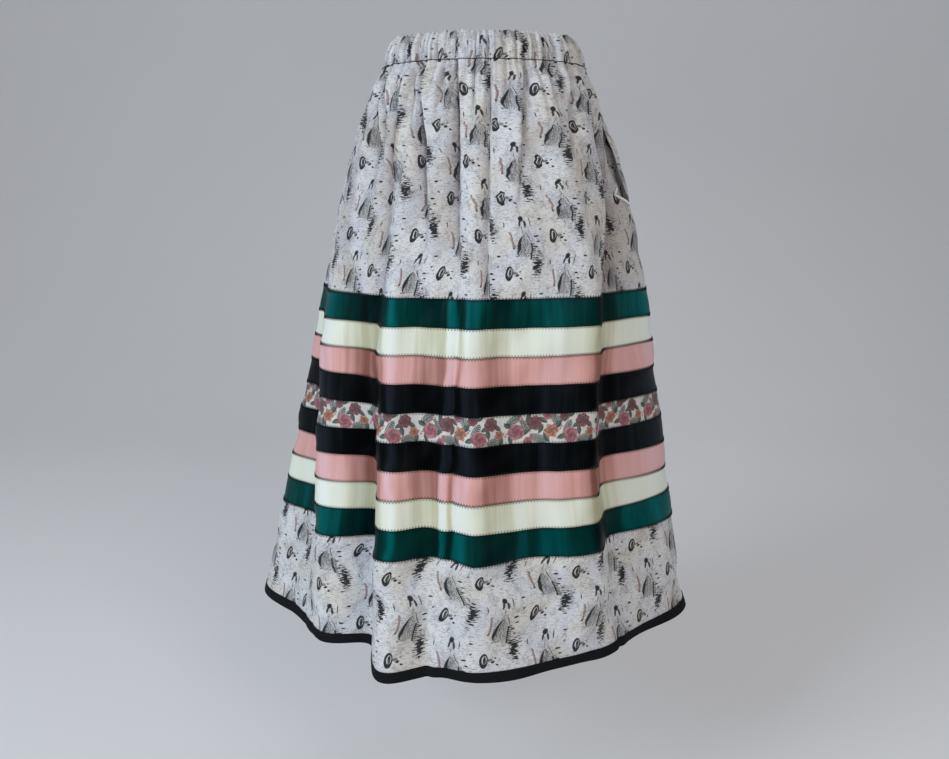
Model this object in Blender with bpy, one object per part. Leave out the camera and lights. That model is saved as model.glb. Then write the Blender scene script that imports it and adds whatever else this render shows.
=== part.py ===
"""A worn ribbon skirt: two flared cotton panels on a gathered elastic waistband, nine bands of ribbon
sewn round them, a bound hem and a pocket in one side seam.

The frame is +Z up with the origin at the middle of the waist opening, level with its top edge. The skirt
hangs down from there and its front faces -Y. Metres throughout.

Every piece is a patch of one surface. A place on that surface has two coordinates: turn, which counts
crests and hollows round the skirt from the left side seam, and drop, the height below the top edge.
"""

import bisect
import collections
import math
import random

import bmesh
import bpy
from mathutils import Vector

# Sewn sizes
CASING_HEIGHT = 0.038
RIBBON_WIDTH = 0.0381
RIBBON_TOP = 0.351
RIBBON_SLOPE = math.radians(11.5)
BINDING_HEIGHT = 0.0125
HEM_DROP = 0.832
POCKET_TOP = 0.100
POCKET_BOTTOM = 0.235
POCKET_GAPE = 0.0034
BAG_BOTTOM = 0.300

# Walls and the clearances between them
COTTON = 0.0012
CASING_WALL = 0.0030
RIBBON_WALL = 0.0010
BINDING_WALL = 0.0010
BAG_WALL = 0.0024
SEAM_GAP = 0.0003
BAG_CLEARANCE = 0.0015

# Columns of points between a crest and the next hollow, above and below the yoke's end
FINE_COLUMNS = 6
BROAD_COLUMNS = 3
YOKE_END = 0.140
NORMAL_STEP = 0.004
SHARP_ANGLE = math.radians(50)

# The shape of the skirt without its folds: half sizes of each section, how far it leans to the side,
# and how deep the waist gathers are there. "soft" is the share of the soft folds under the gathers.
Section = collections.namedtuple("Section", "drop half_width front back lean gather soft")
SECTIONS = [
    Section(0.000, 0.1370, 0.1040, 0.1040, 0.0000, 0.0060, 0.00),
    Section(0.020, 0.1450, 0.1110, 0.1110, 0.0000, 0.0058, 0.00),
    Section(0.038, 0.1460, 0.1120, 0.1120, 0.0000, 0.0040, 0.10),
    Section(0.065, 0.1620, 0.1250, 0.1260, 0.0000, 0.0062, 0.45),
    Section(0.100, 0.1770, 0.1370, 0.1410, 0.0000, 0.0036, 0.85),
    Section(0.140, 0.1920, 0.1490, 0.1550, 0.0000, 0.0000, 1.00),
    Section(0.200, 0.2095, 0.1650, 0.1720, 0.0000, 0.0000, 0.95),
    Section(0.235, 0.2180, 0.1730, 0.1790, 0.0000, 0.0000, 0.90),
    Section(0.300, 0.2335, 0.1870, 0.1910, 0.0000, 0.0000, 0.80),
    Section(0.351, 0.2440, 0.1980, 0.2010, 0.0000, 0.0000, 0.60),
    Section(0.450, 0.2600, 0.2210, 0.2190, -0.0040, 0.0000, 0.40),
    Section(0.550, 0.2770, 0.2440, 0.2380, -0.0070, 0.0000, 0.20),
    Section(0.687, 0.3010, 0.2760, 0.2650, -0.0125, 0.0000, 0.05),
    Section(0.760, 0.3130, 0.2950, 0.2800, -0.0145, 0.0000, 0.00),
    Section(0.832, 0.3240, 0.3150, 0.2960, -0.0155, 0.0000, 0.00),
]

# The large folds, crest and hollow by turns from the left side seam round the front. Azimuths are degrees
# from the centre front towards +X. Reaches are millimetres outwards from the section at the hip (top of the
# ribbons), the knee (foot of the ribbons) and the hem. "soft" is how many millimetres deep a soft fold of
# the yoke lies between this line and the next.
WAIST_DROP, HIP_DROP, KNEE_DROP = 0.040, RIBBON_TOP, 0.687
FOLD_COLUMNS = "azimuth_waist azimuth_hip azimuth_knee azimuth_hem reach_hip reach_knee reach_hem soft"
Fold = collections.namedtuple("Fold", FOLD_COLUMNS)
FOLDS = [
    Fold(-90, -92, -88, -84, 0, 4, 10, 6),
    Fold(-79, -82, -70, -62, -8, -44, -30, 4),
    Fold(-66, -70, -54, -47, 0, -14, -22, 7),
    Fold(-51, -49, -39, -34, -12, -62, -57, 10),
    Fold(-37, -37, -26, -20, 4, 8, 22, 8),
    Fold(-20, -22, -12, -10, -5, -21, -12, 11),
    Fold(-4, -5, 0, 1, 1, 1, 3, 6),
    Fold(17, 18, 17, 21, -5, -16, -15, 7),
    Fold(38, 42, 35, 33, 5, 3, -11, 4),
    Fold(58, 55, 48, 46, -15, -32, -19, 9),
    Fold(80, 78, 74, 72, 2, 8, 12, 5),
    Fold(96, 95, 93, 92, -6, -24, -26, 8),
    Fold(112, 109, 108, 109, 1, 0, 2, 6),
    Fold(128, 124, 124, 125, -8, -32, -34, 9),
    Fold(143, 140, 140, 141, 3, 5, 8, 7),
    Fold(158, 155, 155, 156, -6, -19, -18, 10),
    Fold(174, 172, 172, 172, 2, 2, 3, 6),
    Fold(190, 189, 189, 188, -7, -27, -29, 9),
    Fold(206, 205, 206, 206, 3, 5, 9, 7),
    Fold(222, 221, 222, 223, -8, -34, -36, 10),
    Fold(238, 238, 240, 242, 2, -2, 3, 6),
    Fold(254, 254, 257, 260, -6, -20, -22, 8),
]
TURNS = len(FOLDS)
RIGHT_SEAM = 10

# Degrees that some lines of the front turn by between the top of the ribbons and this far below it
DRAWN_IN = {3: 1.0, 4: 1.2, 8: -4.5, 9: -3.0}
DRAWN_HEIGHT = 0.37
BAG_ENDS = (RIGHT_SEAM - 2, RIGHT_SEAM + 1 / 3)

# Gathers are sewn two to a turn, each its own share of the usual depth.
GATHERS_PER_TURN = 2
uneven = random.Random(11)
GATHER_SHARES = [uneven.uniform(0.55, 1.15) for _ in range(TURNS * GATHERS_PER_TURN)]

# Ribbons from the top down, mirrored about the flowered one
RIBBONS = ["green", "cream", "pink", "black", "flowered", "black", "pink", "cream", "green"]
COLOURS = {
    "birch": ((0.78, 0.77, 0.79, 1.0), 0.85),
    "green": ((0.00, 0.16, 0.13, 1.0), 0.35),
    "cream": ((0.80, 0.81, 0.70, 1.0), 0.35),
    "pink": ((0.78, 0.42, 0.42, 1.0), 0.35),
    "black": ((0.010, 0.011, 0.014, 1.0), 0.35),
    "flowered": ((0.80, 0.72, 0.70, 1.0), 0.80),
    "binding": ((0.012, 0.012, 0.016, 1.0), 0.80),
}


def smooth_between(knots, values, at):
    """The value at a place along knots, on a smooth curve through the values."""
    at = min(max(at, knots[0]), knots[-1])
    i = min(max(bisect.bisect_right(knots, at) - 1, 0), len(knots) - 2)
    span = knots[i + 1] - knots[i]
    share = (at - knots[i]) / span

    def slope(k):
        before, after = max(k - 1, 0), min(k + 1, len(knots) - 1)
        return (values[after] - values[before]) / (knots[after] - knots[before])

    s2, s3 = share * share, share * share * share
    return (
        (2 * s3 - 3 * s2 + 1) * values[i]
        + (s3 - 2 * s2 + share) * span * slope(i)
        + (3 * s2 - 2 * s3) * values[i + 1]
        + (s3 - s2) * span * slope(i + 1)
    )


SECTION_DROPS = [section.drop for section in SECTIONS]


def section_at(drop):
    """The section's sizes at any drop."""
    columns = zip(*SECTIONS)
    return Section(*(smooth_between(SECTION_DROPS, column, drop) for column in columns))


def fold_at(index, drop):
    """The azimuth in degrees and the reach in metres of one crest or hollow, counted on past the last."""
    fold = FOLDS[index % TURNS]
    azimuths = (fold.azimuth_waist, fold.azimuth_hip, fold.azimuth_knee, fold.azimuth_hem)
    reaches = (0, fold.reach_hip, fold.reach_knee, fold.reach_hem)
    levels = (WAIST_DROP, HIP_DROP, KNEE_DROP, HEM_DROP)
    drawn = math.sin(math.pi * min(max((drop - HIP_DROP) / DRAWN_HEIGHT, 0), 1)) ** 1.5
    azimuth = smooth_between(levels, azimuths, drop) + DRAWN_IN.get(index % TURNS, 0) * drawn
    return azimuth + 360 * (index // TURNS), smooth_between(levels, reaches, drop) / 1000


def gather_height(turn):
    """The waist gathers, from 0 between them to each one's own share of 1."""
    place = turn * GATHERS_PER_TURN
    nearest = round(place)
    depth_share = GATHER_SHARES[nearest % len(GATHER_SHARES)]
    return depth_share * (0.5 + 0.5 * math.cos(2 * math.pi * (place - nearest)))


def cloth_point(turn, drop):
    """The outer face of the cotton."""
    section = section_at(drop)
    index = math.floor(turn)
    share = turn - index
    azimuth, reach = fold_at(index, drop)
    next_azimuth, next_reach = fold_at(index + 1, drop)
    angle = math.radians(azimuth + (next_azimuth - azimuth) * share)
    reach += (next_reach - reach) * (0.5 - 0.5 * math.cos(math.pi * share))
    soft_depth = FOLDS[index % TURNS].soft / 1000
    depth = section.front if math.cos(angle) > 0 else section.back
    width = section.half_width
    radius = width * depth / math.hypot(depth * math.sin(angle), width * math.cos(angle))
    radius += reach
    radius += section.gather * (gather_height(turn) - 0.5)
    radius -= section.soft * soft_depth * (0.5 - 0.5 * math.cos(2 * math.pi * share))
    return Vector((section.lean + radius * math.sin(angle), -radius * math.cos(angle), -drop))


def cloth_frame(turn, drop):
    """A point of the cotton's outer face, its direction round the skirt and its outward normal."""
    step_turn = 1 / (FINE_COLUMNS if drop <= YOKE_END else BROAD_COLUMNS)
    around = cloth_point(turn + step_turn, drop) - cloth_point(turn - step_turn, drop)
    low, high = min(drop + NORMAL_STEP, HEM_DROP), max(drop - NORMAL_STEP, 0.0)
    down = cloth_point(turn, low) - cloth_point(turn, high)
    return cloth_point(turn, drop), around.normalized(), down.cross(around).normalized()


def pocket_gape(drop):
    """Half the width of the pocket's mouth at a drop."""
    if not POCKET_TOP < drop < POCKET_BOTTOM:
        return 0.0
    share = (drop - POCKET_TOP) / (POCKET_BOTTOM - POCKET_TOP)
    return POCKET_GAPE / 2 * min(1.0, 4 * share * (1 - share) / 0.75)


def row_of_points(start, end, drop, lift):
    """Points along one drop from one seam to the next, lifted off the cotton's outer face.

    The two ends are drawn back from their seams, unless the row runs all round.
    """
    per_turn = FINE_COLUMNS if drop <= YOKE_END else BROAD_COLUMNS
    all_round = end - start == TURNS
    points = []
    for column in range(round(start * per_turn), round(end * per_turn) + (0 if all_round else 1)):
        turn = column / per_turn
        place, around, outwards = cloth_frame(turn, drop)
        setback = SEAM_GAP / 2 + (pocket_gape(drop) if turn == RIGHT_SEAM else 0.0)
        if turn == start and not all_round:
            place = place + around * setback
        elif turn == end:
            place = place - around * setback
        points.append(place + outwards * lift)
    return points


def split_span(first, second, i):
    """Two triangles for one span between two rows, or three where the first row has twice the columns.

    Every span is split from its upper left to its lower right, so that layers of cloth stay parallel.
    """
    if len(first) > len(second) + 1:
        upper_left, upper_middle, upper_right = first[2 * i : 2 * i + 3]
        return [
            (upper_left, second[i], upper_middle),
            (upper_middle, second[i], second[i + 1]),
            (upper_middle, second[i + 1], upper_right),
        ]
    rising = second[0].co.z > first[0].co.z
    if rising:
        return [(first[i], second[i], first[i + 1]), (first[i + 1], second[i], second[i + 1])]
    return [(first[i], second[i], second[i + 1]), (first[i], second[i + 1], first[i + 1])]


def wall_object(name, colour, outer_rows, inner_rows, closed=False):
    """A wall of cloth between two matching sheets of points, with its rim.

    Both faces are offset along the cloth's own normals. A Solidify would take them from each piece alone,
    and the pieces would then cross at their seams.
    """
    wall = bmesh.new()
    rims = []
    for rows, outer in ((outer_rows, True), (inner_rows, False)):
        made = [[wall.verts.new(point) for point in row] for row in rows]
        if closed:
            made = [row + row[:1] for row in made]
        for first, second in zip(made, made[1:]):
            for i in range(len(second) - 1):
                for corners in split_span(first, second, i):
                    wall.faces.new(corners if outer else corners[::-1])
        if closed:
            rims.append([made[0][::-1], made[-1]])
        else:
            right_edge = [row[-1] for row in made[-2:0:-1]]
            left_edge = [row[0] for row in made[1:]]
            rims.append([left_edge[::-1] + made[0] + right_edge[::-1] + made[-1][::-1]])
    for outer_rim, inner_rim in zip(*rims):
        pairs = list(zip(outer_rim, inner_rim))
        for (outer_a, inner_a), (outer_b, inner_b) in zip(pairs, pairs[1:]):
            wall.faces.new((outer_b, outer_a, inner_a, inner_b))
    bmesh.ops.recalc_face_normals(wall, faces=wall.faces)
    mesh_data = bpy.data.meshes.new(name)
    wall.to_mesh(mesh_data)
    wall.free()
    mesh_data.materials.append(material(colour))
    mesh_data.shade_smooth()
    mesh_data.set_sharp_from_angle(angle=SHARP_ANGLE)
    made_object = bpy.data.objects.new(name, mesh_data)
    skirt_collection.objects.link(made_object)


def material(colour):
    """The material of one cloth, made once."""
    if colour in bpy.data.materials:
        return bpy.data.materials[colour]
    base_colour, roughness = COLOURS[colour]
    made = bpy.data.materials.new(colour)
    made.use_nodes = True
    shader = made.node_tree.nodes["Principled BSDF"]
    shader.inputs["Base Color"].default_value = base_colour
    shader.inputs["Roughness"].default_value = roughness
    shader.inputs["Metallic"].default_value = 0.0
    return made


def ribbon_edges():
    """The drops of the ten edges of the nine ribbons."""
    height = RIBBON_WIDTH * math.cos(RIBBON_SLOPE)
    return [RIBBON_TOP + height * k for k in range(len(RIBBONS) + 1)]


def layer(name, colour, ends, drops, outer_lift, inner_lift):
    """A piece of cloth between two heights off the cotton's outer face, over a run of rows."""
    faces = [[row_of_points(*ends, drop, lift) for drop in drops] for lift in (outer_lift, inner_lift)]
    wall_object(name, colour, *faces)


def waistband(half, ends):
    """Half of the casing, with the elastic inside it."""
    drops = [0.0, 0.013, 0.026, CASING_HEIGHT - SEAM_GAP / 2]
    layer(f"waistband_{half}", "birch", ends, drops, 0.0, -CASING_WALL)


def panel(half, ends):
    """The front or the back, gathered finely down to the yoke's end and broadly below it."""
    yoke = [CASING_HEIGHT + SEAM_GAP / 2, 0.065, POCKET_TOP, YOKE_END]
    hip = [0.200, POCKET_BOTTOM, BAG_BOTTOM]
    foot = [0.735, 0.780, HEM_DROP - BINDING_HEIGHT, HEM_DROP - BINDING_WALL - SEAM_GAP]
    layer(f"panel_{half}", "birch", ends, yoke + hip + ribbon_edges() + foot, 0.0, -COTTON)


def ribbon(number, colour, half, ends):
    """One length of ribbon, laid on the cotton from seam to seam."""
    top, bottom = ribbon_edges()[number - 1 : number + 1]
    drops = [top + SEAM_GAP / 2, bottom - SEAM_GAP / 2]
    layer(f"ribbon_{number}_{colour}_{half}", colour, ends, drops, SEAM_GAP + RIBBON_WALL, SEAM_GAP)


def hem_binding():
    """The tape folded over the hem's edge, outside, under and inside it."""
    top = HEM_DROP - BINDING_HEIGHT
    faces = []
    for wall in (BINDING_WALL, 0.0):
        outside, inside = SEAM_GAP + wall, -(COTTON + SEAM_GAP + wall)
        bottom = HEM_DROP - BINDING_WALL + wall
        path = [(top, outside), (bottom, outside), (bottom, inside), (top, inside)]
        faces.append([row_of_points(0, TURNS, drop, lift) for drop, lift in path])
    wall_object("hem_binding", "binding", *faces, closed=True)


def pocket_bag():
    """The pocket's two layers, lying together behind the front and under the mouth in the seam."""
    drops = [POCKET_TOP, YOKE_END, 0.200, POCKET_BOTTOM, BAG_BOTTOM]
    outer_lift = -(COTTON + BAG_CLEARANCE)
    layer("pocket_bag", "birch", BAG_ENDS, drops, outer_lift, outer_lift - BAG_WALL)


def build():
    halves = {"front": (0, RIGHT_SEAM), "back": (RIGHT_SEAM, TURNS)}
    for half, ends in halves.items():
        waistband(half, ends)
        panel(half, ends)
        for number, colour in enumerate(RIBBONS, 1):
            ribbon(number, colour, half, ends)
    hem_binding()
    pocket_bag()


for leftover in list(bpy.data.objects):
    bpy.data.objects.remove(leftover)
skirt_collection = bpy.data.collections.new("ribbon_skirt")
bpy.context.scene.collection.children.link(skirt_collection)
build()
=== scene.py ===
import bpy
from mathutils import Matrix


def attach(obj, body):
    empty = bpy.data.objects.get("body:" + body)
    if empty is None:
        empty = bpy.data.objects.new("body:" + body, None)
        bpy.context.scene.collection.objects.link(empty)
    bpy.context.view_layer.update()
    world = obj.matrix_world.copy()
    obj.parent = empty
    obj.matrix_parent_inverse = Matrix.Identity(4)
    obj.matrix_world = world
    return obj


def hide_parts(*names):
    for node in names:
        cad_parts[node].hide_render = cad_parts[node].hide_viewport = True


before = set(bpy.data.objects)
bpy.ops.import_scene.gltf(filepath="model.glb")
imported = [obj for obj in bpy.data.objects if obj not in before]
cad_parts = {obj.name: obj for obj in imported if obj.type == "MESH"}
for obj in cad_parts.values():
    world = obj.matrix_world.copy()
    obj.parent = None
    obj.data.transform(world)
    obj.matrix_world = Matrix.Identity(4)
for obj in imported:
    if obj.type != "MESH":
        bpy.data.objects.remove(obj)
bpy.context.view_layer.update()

import math

import bpy
import numpy as np
from mathutils import Vector

# The skirt hangs from the waist at z = 0 and its front faces -Y. A place on its cloth is a turn, which
# counts the crests and hollows round it from the left seam, and a drop below the top edge.

sewn = {
    "casing": 0.038,
    "ribbonTop": 0.351,
    "ribbonWidth": 0.0381,
    "ribbonSlope": math.radians(11.5),
    "hem": 0.832,
    "bindingHeight": 0.0125,
    "seamGap": 0.0003,
    "ribbonGap": 0.00005,
    "pocketTop": 0.100,
    "pocketBottom": 0.235,
    "pocketCorner": 0.217,
    "bagBottom": 0.300,
}
rightSeam = 10

sectionNames = "drop halfWidth front back lean gather soft".split()
sectionRows = [
    (0.000, 0.1310, 0.1030, 0.1030, 0.0000, 0.0036, 0.00),
    (0.020, 0.1405, 0.1100, 0.1100, 0.0000, 0.0040, 0.00),
    (0.038, 0.1455, 0.1120, 0.1120, 0.0000, 0.0040, 0.10),
    (0.065, 0.1620, 0.1250, 0.1260, 0.0000, 0.0062, 0.45),
    (0.100, 0.1770, 0.1370, 0.1410, 0.0000, 0.0036, 0.85),
    (0.140, 0.1920, 0.1490, 0.1550, 0.0000, 0.0000, 1.00),
    (0.200, 0.2095, 0.1650, 0.1720, 0.0000, 0.0000, 0.95),
    (0.235, 0.2180, 0.1730, 0.1790, 0.0000, 0.0000, 0.90),
    (0.300, 0.2335, 0.1870, 0.1910, 0.0000, 0.0000, 0.80),
    (0.351, 0.2440, 0.1980, 0.2010, 0.0000, 0.0000, 0.60),
    (0.450, 0.2600, 0.2210, 0.2190, -0.0040, 0.0000, 0.40),
    (0.550, 0.2770, 0.2440, 0.2380, -0.0070, 0.0000, 0.20),
    (0.687, 0.3010, 0.2760, 0.2650, -0.0125, 0.0000, 0.05),
    (0.760, 0.3130, 0.2950, 0.2800, -0.0145, 0.0000, 0.00),
    (0.832, 0.3240, 0.3150, 0.2960, -0.0155, 0.0000, 0.00),
]
sections = dict(zip(sectionNames, np.array(sectionRows).T))

# Large folds: azimuths in degrees at the waist, hip, knee and hem, reaches in millimetres at the last three,
# and the depth of the soft fold between this line and the next.
foldLevels = np.array([0.040, sewn["ribbonTop"], 0.687, sewn["hem"]])
foldRows = np.array([
    (-90, -92, -88, -84, 0, 4, 10, 6),
    (-79, -82, -70, -62, -8, -44, -30, 4),
    (-66, -70, -54, -47, 0, -14, -22, 7),
    (-51, -49, -39, -34, -12, -62, -57, 10),
    (-37, -37, -26, -20, 4, 8, 22, 8),
    (-20, -22, -12, -10, -5, -21, -12, 11),
    (-4, -5, 0, 1, 1, 1, 3, 6),
    (17, 18, 17, 21, -5, -16, -15, 7),
    (38, 42, 35, 33, 5, 3, -11, 4),
    (58, 55, 48, 46, -15, -32, -19, 9),
    (80, 78, 74, 72, 2, 8, 12, 5),
    (96, 95, 93, 92, -6, -24, -26, 8),
    (112, 109, 108, 109, 1, 0, 2, 6),
    (128, 124, 124, 125, -8, -32, -34, 9),
    (143, 140, 140, 141, 3, 5, 8, 7),
    (158, 155, 155, 156, -6, -19, -18, 10),
    (174, 172, 172, 172, 2, 2, 3, 6),
    (190, 189, 189, 188, -7, -27, -29, 9),
    (206, 205, 206, 206, 3, 5, 9, 7),
    (222, 221, 222, 223, -8, -34, -36, 10),
    (238, 238, 240, 242, 2, -2, 3, 6),
    (254, 254, 257, 260, -6, -20, -22, 8),
], dtype=float)
foldCount = len(foldRows)

# Degrees that some of these lines turn by in front, from the top of the ribbons down over "height".
drawnIn = {"degrees": {3: 1.0, 4: 1.2, 8: -4.5, 9: -3.0}, "height": 0.37}

gathersPerTurn = 2

# Creases, where the gathered cloth folds under itself. Each runs from one turn to another between two drops,
# and the cloth sinks towards it over "left" and "right" turns. "hides" is the cloth lost in the fold, and
# "bend" is under 1 where most of the slant is high up.
creaseNames = "topTurn bottomTurn top bottom depth left right hides bend".split()
creaseRows = [
    (0.50, 2.20, 0.042, 0.20, 0.006, 0.20, 0.07, 0.010, 0.8),
    (1.20, 3.00, 0.042, 0.24, 0.009, 0.20, 0.06, 0.010, 0.6),
    (1.71, 3.20, 0.040, 0.21, 0.011, 0.28, 0.06, 0.014, 0.8),
    (2.75, 3.55, 0.040, 0.30, 0.006, 0.18, 0.06, 0.008, 0.8),
    (3.05, 3.85, 0.038, 0.16, 0.007, 0.20, 0.06, 0.008, 0.8),
    (3.35, 5.00, 0.038, 0.33, 0.013, 0.42, 0.05, 0.018, 0.55),
    (4.45, 4.90, 0.038, 0.13, 0.005, 0.15, 0.06, 0.004, 0.8),
    (4.95, 5.75, 0.038, 0.37, 0.012, 0.42, 0.05, 0.024, 0.5),
    (5.80, 5.90, 0.038, 0.15, 0.004, 0.14, 0.08, 0.004, 0.8),
    (6.42, 6.24, 0.038, 0.50, 0.006, 0.16, 0.035, 0.020, 0.5),
    (7.05, 6.85, 0.038, 0.12, 0.005, 0.12, 0.12, 0.004, 0.8),
    (7.60, 6.80, 0.038, 0.27, 0.008, 0.05, 0.30, 0.009, 0.6),
    (8.20, 7.95, 0.038, 0.12, 0.005, 0.10, 0.12, 0.004, 0.8),
    (8.97, 7.85, 0.038, 0.20, 0.008, 0.06, 0.26, 0.007, 1.4),
    (9.50, 8.35, 0.042, 0.42, 0.013, 0.05, 0.30, 0.014, 2.5),
    (9.95, 8.20, 0.050, 0.40, 0.015, 0.05, 0.34, 0.006, 1.9),
    (10.6, 10.9, 0.042, 0.25, 0.006, 0.24, 0.07, 0.012, 0.8),
    (11.4, 11.7, 0.040, 0.34, 0.009, 0.35, 0.06, 0.016, 0.8),
    (12.3, 12.5, 0.040, 0.20, 0.006, 0.18, 0.06, 0.010, 0.8),
    (13.2, 13.6, 0.038, 0.40, 0.010, 0.40, 0.05, 0.018, 0.8),
    (14.1, 14.4, 0.038, 0.18, 0.006, 0.20, 0.07, 0.010, 0.8),
    (14.9, 15.3, 0.038, 0.48, 0.010, 0.40, 0.05, 0.018, 0.8),
    (15.8, 15.9, 0.038, 0.15, 0.005, 0.14, 0.10, 0.008, 0.8),
    (16.6, 16.4, 0.038, 0.30, 0.008, 0.06, 0.32, 0.014, 0.8),
    (17.3, 17.2, 0.038, 0.16, 0.005, 0.10, 0.14, 0.010, 0.8),
    (18.0, 17.6, 0.038, 0.44, 0.010, 0.05, 0.42, 0.018, 0.8),
    (18.9, 18.6, 0.040, 0.22, 0.006, 0.07, 0.20, 0.010, 0.8),
    (19.6, 19.3, 0.040, 0.38, 0.009, 0.05, 0.38, 0.016, 0.8),
    (20.6, 20.2, 0.042, 0.26, 0.007, 0.07, 0.24, 0.012, 0.8),
    (21.4, 21.2, 0.042, 0.30, 0.006, 0.08, 0.24, 0.012, 0.8),
]
creases = dict(zip(creaseNames, np.array(creaseRows).T))

# Painted shade on the cloth that lies in the shade beside a fold of the yoke, on its left and its right.
shadeNames = "topTurn bottomTurn top bottom tone left right bend".split()
shadeRows = [
    (0.90, 1.60, 0.06, 0.30, 0.35, 0.40, 0.10, 0.8),
    (1.75, 2.50, 0.06, 0.36, 0.50, 0.60, 0.08, 0.8),
    (2.90, 3.86, 0.08, 0.42, 0.62, 0.70, 0.05, 0.6),
    (4.60, 5.10, 0.05, 0.30, 0.25, 0.35, 0.08, 0.6),
    (8.10, 7.80, 0.06, 0.26, 0.20, 0.10, 0.40, 0.8),
    (9.40, 8.42, 0.13, 0.42, 0.75, 0.05, 0.80, 2.0),
]
shades = dict(zip(shadeNames, np.array(shadeRows).T))

# Soft ridges (and hollows, where the height is below zero) that run on through the ribbons.
ridgeNames = "topTurn bottomTurn top bottom height width".split()
ridgeRows = [
    (2.30, 2.55, 0.36, 0.80, 0.0030, 0.22),
    (3.15, 3.20, 0.34, 0.72, 0.0025, 0.18),
    (4.22, 4.30, 0.30, 0.83, 0.0030, 0.20),
    (4.75, 4.70, 0.33, 0.74, -0.0035, 0.30),
    (5.60, 5.14, 0.31, 0.76, 0.0050, 0.16),
    (5.80, 5.40, 0.33, 0.72, -0.0030, 0.07),
    (6.02, 5.95, 0.32, 0.83, 0.0035, 0.20),
    (6.42, 6.55, 0.34, 0.60, -0.0030, 0.22),
    (6.75, 6.62, 0.34, 0.43, 0.0022, 0.09),
    (6.98, 6.90, 0.35, 0.55, -0.0022, 0.12),
    (7.20, 7.28, 0.33, 0.47, 0.0024, 0.10),
    (7.48, 7.45, 0.33, 0.70, 0.0026, 0.14),
    (7.80, 7.95, 0.36, 0.83, -0.0026, 0.20),
    (8.25, 8.35, 0.33, 0.64, 0.0026, 0.16),
    (9.35, 9.40, 0.38, 0.80, 0.0028, 0.22),
    (10.9, 11.0, 0.36, 0.80, 0.0030, 0.24),
    (11.8, 11.6, 0.32, 0.70, -0.0026, 0.18),
    (12.7, 12.8, 0.34, 0.83, 0.0034, 0.20),
    (13.5, 13.3, 0.30, 0.62, 0.0026, 0.14),
    (14.3, 14.4, 0.36, 0.80, -0.0030, 0.22),
    (15.2, 15.0, 0.32, 0.74, 0.0036, 0.18),
    (15.9, 16.1, 0.34, 0.56, 0.0024, 0.12),
    (16.7, 16.6, 0.32, 0.83, -0.0028, 0.22),
    (17.4, 17.5, 0.36, 0.70, 0.0030, 0.16),
    (18.4, 18.2, 0.30, 0.80, 0.0034, 0.22),
    (19.3, 19.5, 0.34, 0.66, -0.0026, 0.18),
    (20.2, 20.1, 0.36, 0.83, 0.0030, 0.22),
    (21.3, 21.5, 0.34, 0.74, 0.0026, 0.18),
    (0.61, 2.00, 0.69, 0.87, -0.0028, 0.08),
    (0.39, 1.50, 0.69, 0.87, -0.0026, 0.07),
    (0.54, 0.83, 0.69, 0.87, -0.0022, 0.06),
    (4.86, 4.84, 0.72, 0.95, -0.0022, 0.11),
    (5.02, 5.02, 0.72, 0.95, 0.0020, 0.16),
    (8.80, 8.65, 0.70, 0.95, -0.0030, 0.08),
    (12.2, 12.3, 0.74, 0.95, -0.0030, 0.08),
    (14.8, 14.7, 0.72, 0.95, 0.0030, 0.09),
    (17.8, 18.0, 0.75, 0.95, -0.0035, 0.08),
    (20.6, 20.5, 0.73, 0.95, 0.0030, 0.10),
]
ridges = dict(zip(ridgeNames, np.array(ridgeRows).T))

chance = np.random.default_rng(11)
wrinkleCount = 170
wrinkles = {  # short creases under and over the waist's stitching
    "turn": chance.uniform(0, foldCount, wrinkleCount),
    "slant": chance.uniform(-0.15, 0.15, wrinkleCount),
    "top": chance.uniform(-0.03, 0.030, wrinkleCount),
    "length": chance.uniform(0.022, 0.065, wrinkleCount),
    "depth": chance.uniform(0.0010, 0.0038, wrinkleCount),
    "width": chance.uniform(0.025, 0.085, wrinkleCount),
}
gatherShares = chance.uniform(0.55, 1.15, foldCount * gathersPerTurn)
puckerShares = chance.uniform(0.2, 1.0, foldCount * gathersPerTurn * 2)
rippleCount = 9
rippleWaves = [  # turns per wave, drop per wave, phase, height
    (*chance.uniform((0.7, 0.05), (2.2, 0.16)), chance.uniform(0, 6.28), chance.uniform(0.0003, 0.0008))
    for _ in range(rippleCount)
]

# The pocket hangs in the right seam. Its bag runs from "start" to "end" in turns. Beside its mouth the cloth
# sinks in front and stands out behind, and the front edge is pulled back, most at the bottom corner.
pocket = {
    "gape": 0.0034,
    "start": rightSeam - 2.0,
    "end": rightSeam + 1 / 3,
    "pullTop": 0.125,
    "pullHeight": 0.115,
    "sunkTurn": 9.86,
    "sunkAt": 0.18,  # the drop where the hollow crosses sunkTurn
    "sunkSlant": 1.6,  # turns a metre
    "sunkWidth": 0.16,
    "sunkDepth": 0.0060,
    "raisedTurn": 10.35,
    "raisedWidth": 0.22,
    "raisedHeight": 0.0045,
    "edgePull": 0.13,
    "edgeHeight": 0.105,
    "cornerPull": 0.17,
    "cornerHeight": 0.013,
    "cornerRows": {"above": 0.018, "below": 0.014, "step": 0.002},
    "hang": 0.022,
    "hangHeight": 0.17,
    "hangTurn": 9.8,
    "hangWidth": 0.45,
    "bagOuter": -0.0027,
    "bagInner": -0.0045,
    "rowStep": 0.006,
    "columns": 12,
    "rolledEdge": {"above": 0.009, "below": 0.013, "inset": 0.02, "lift": 0.0014, "radius": 0.0018},
}


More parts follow.
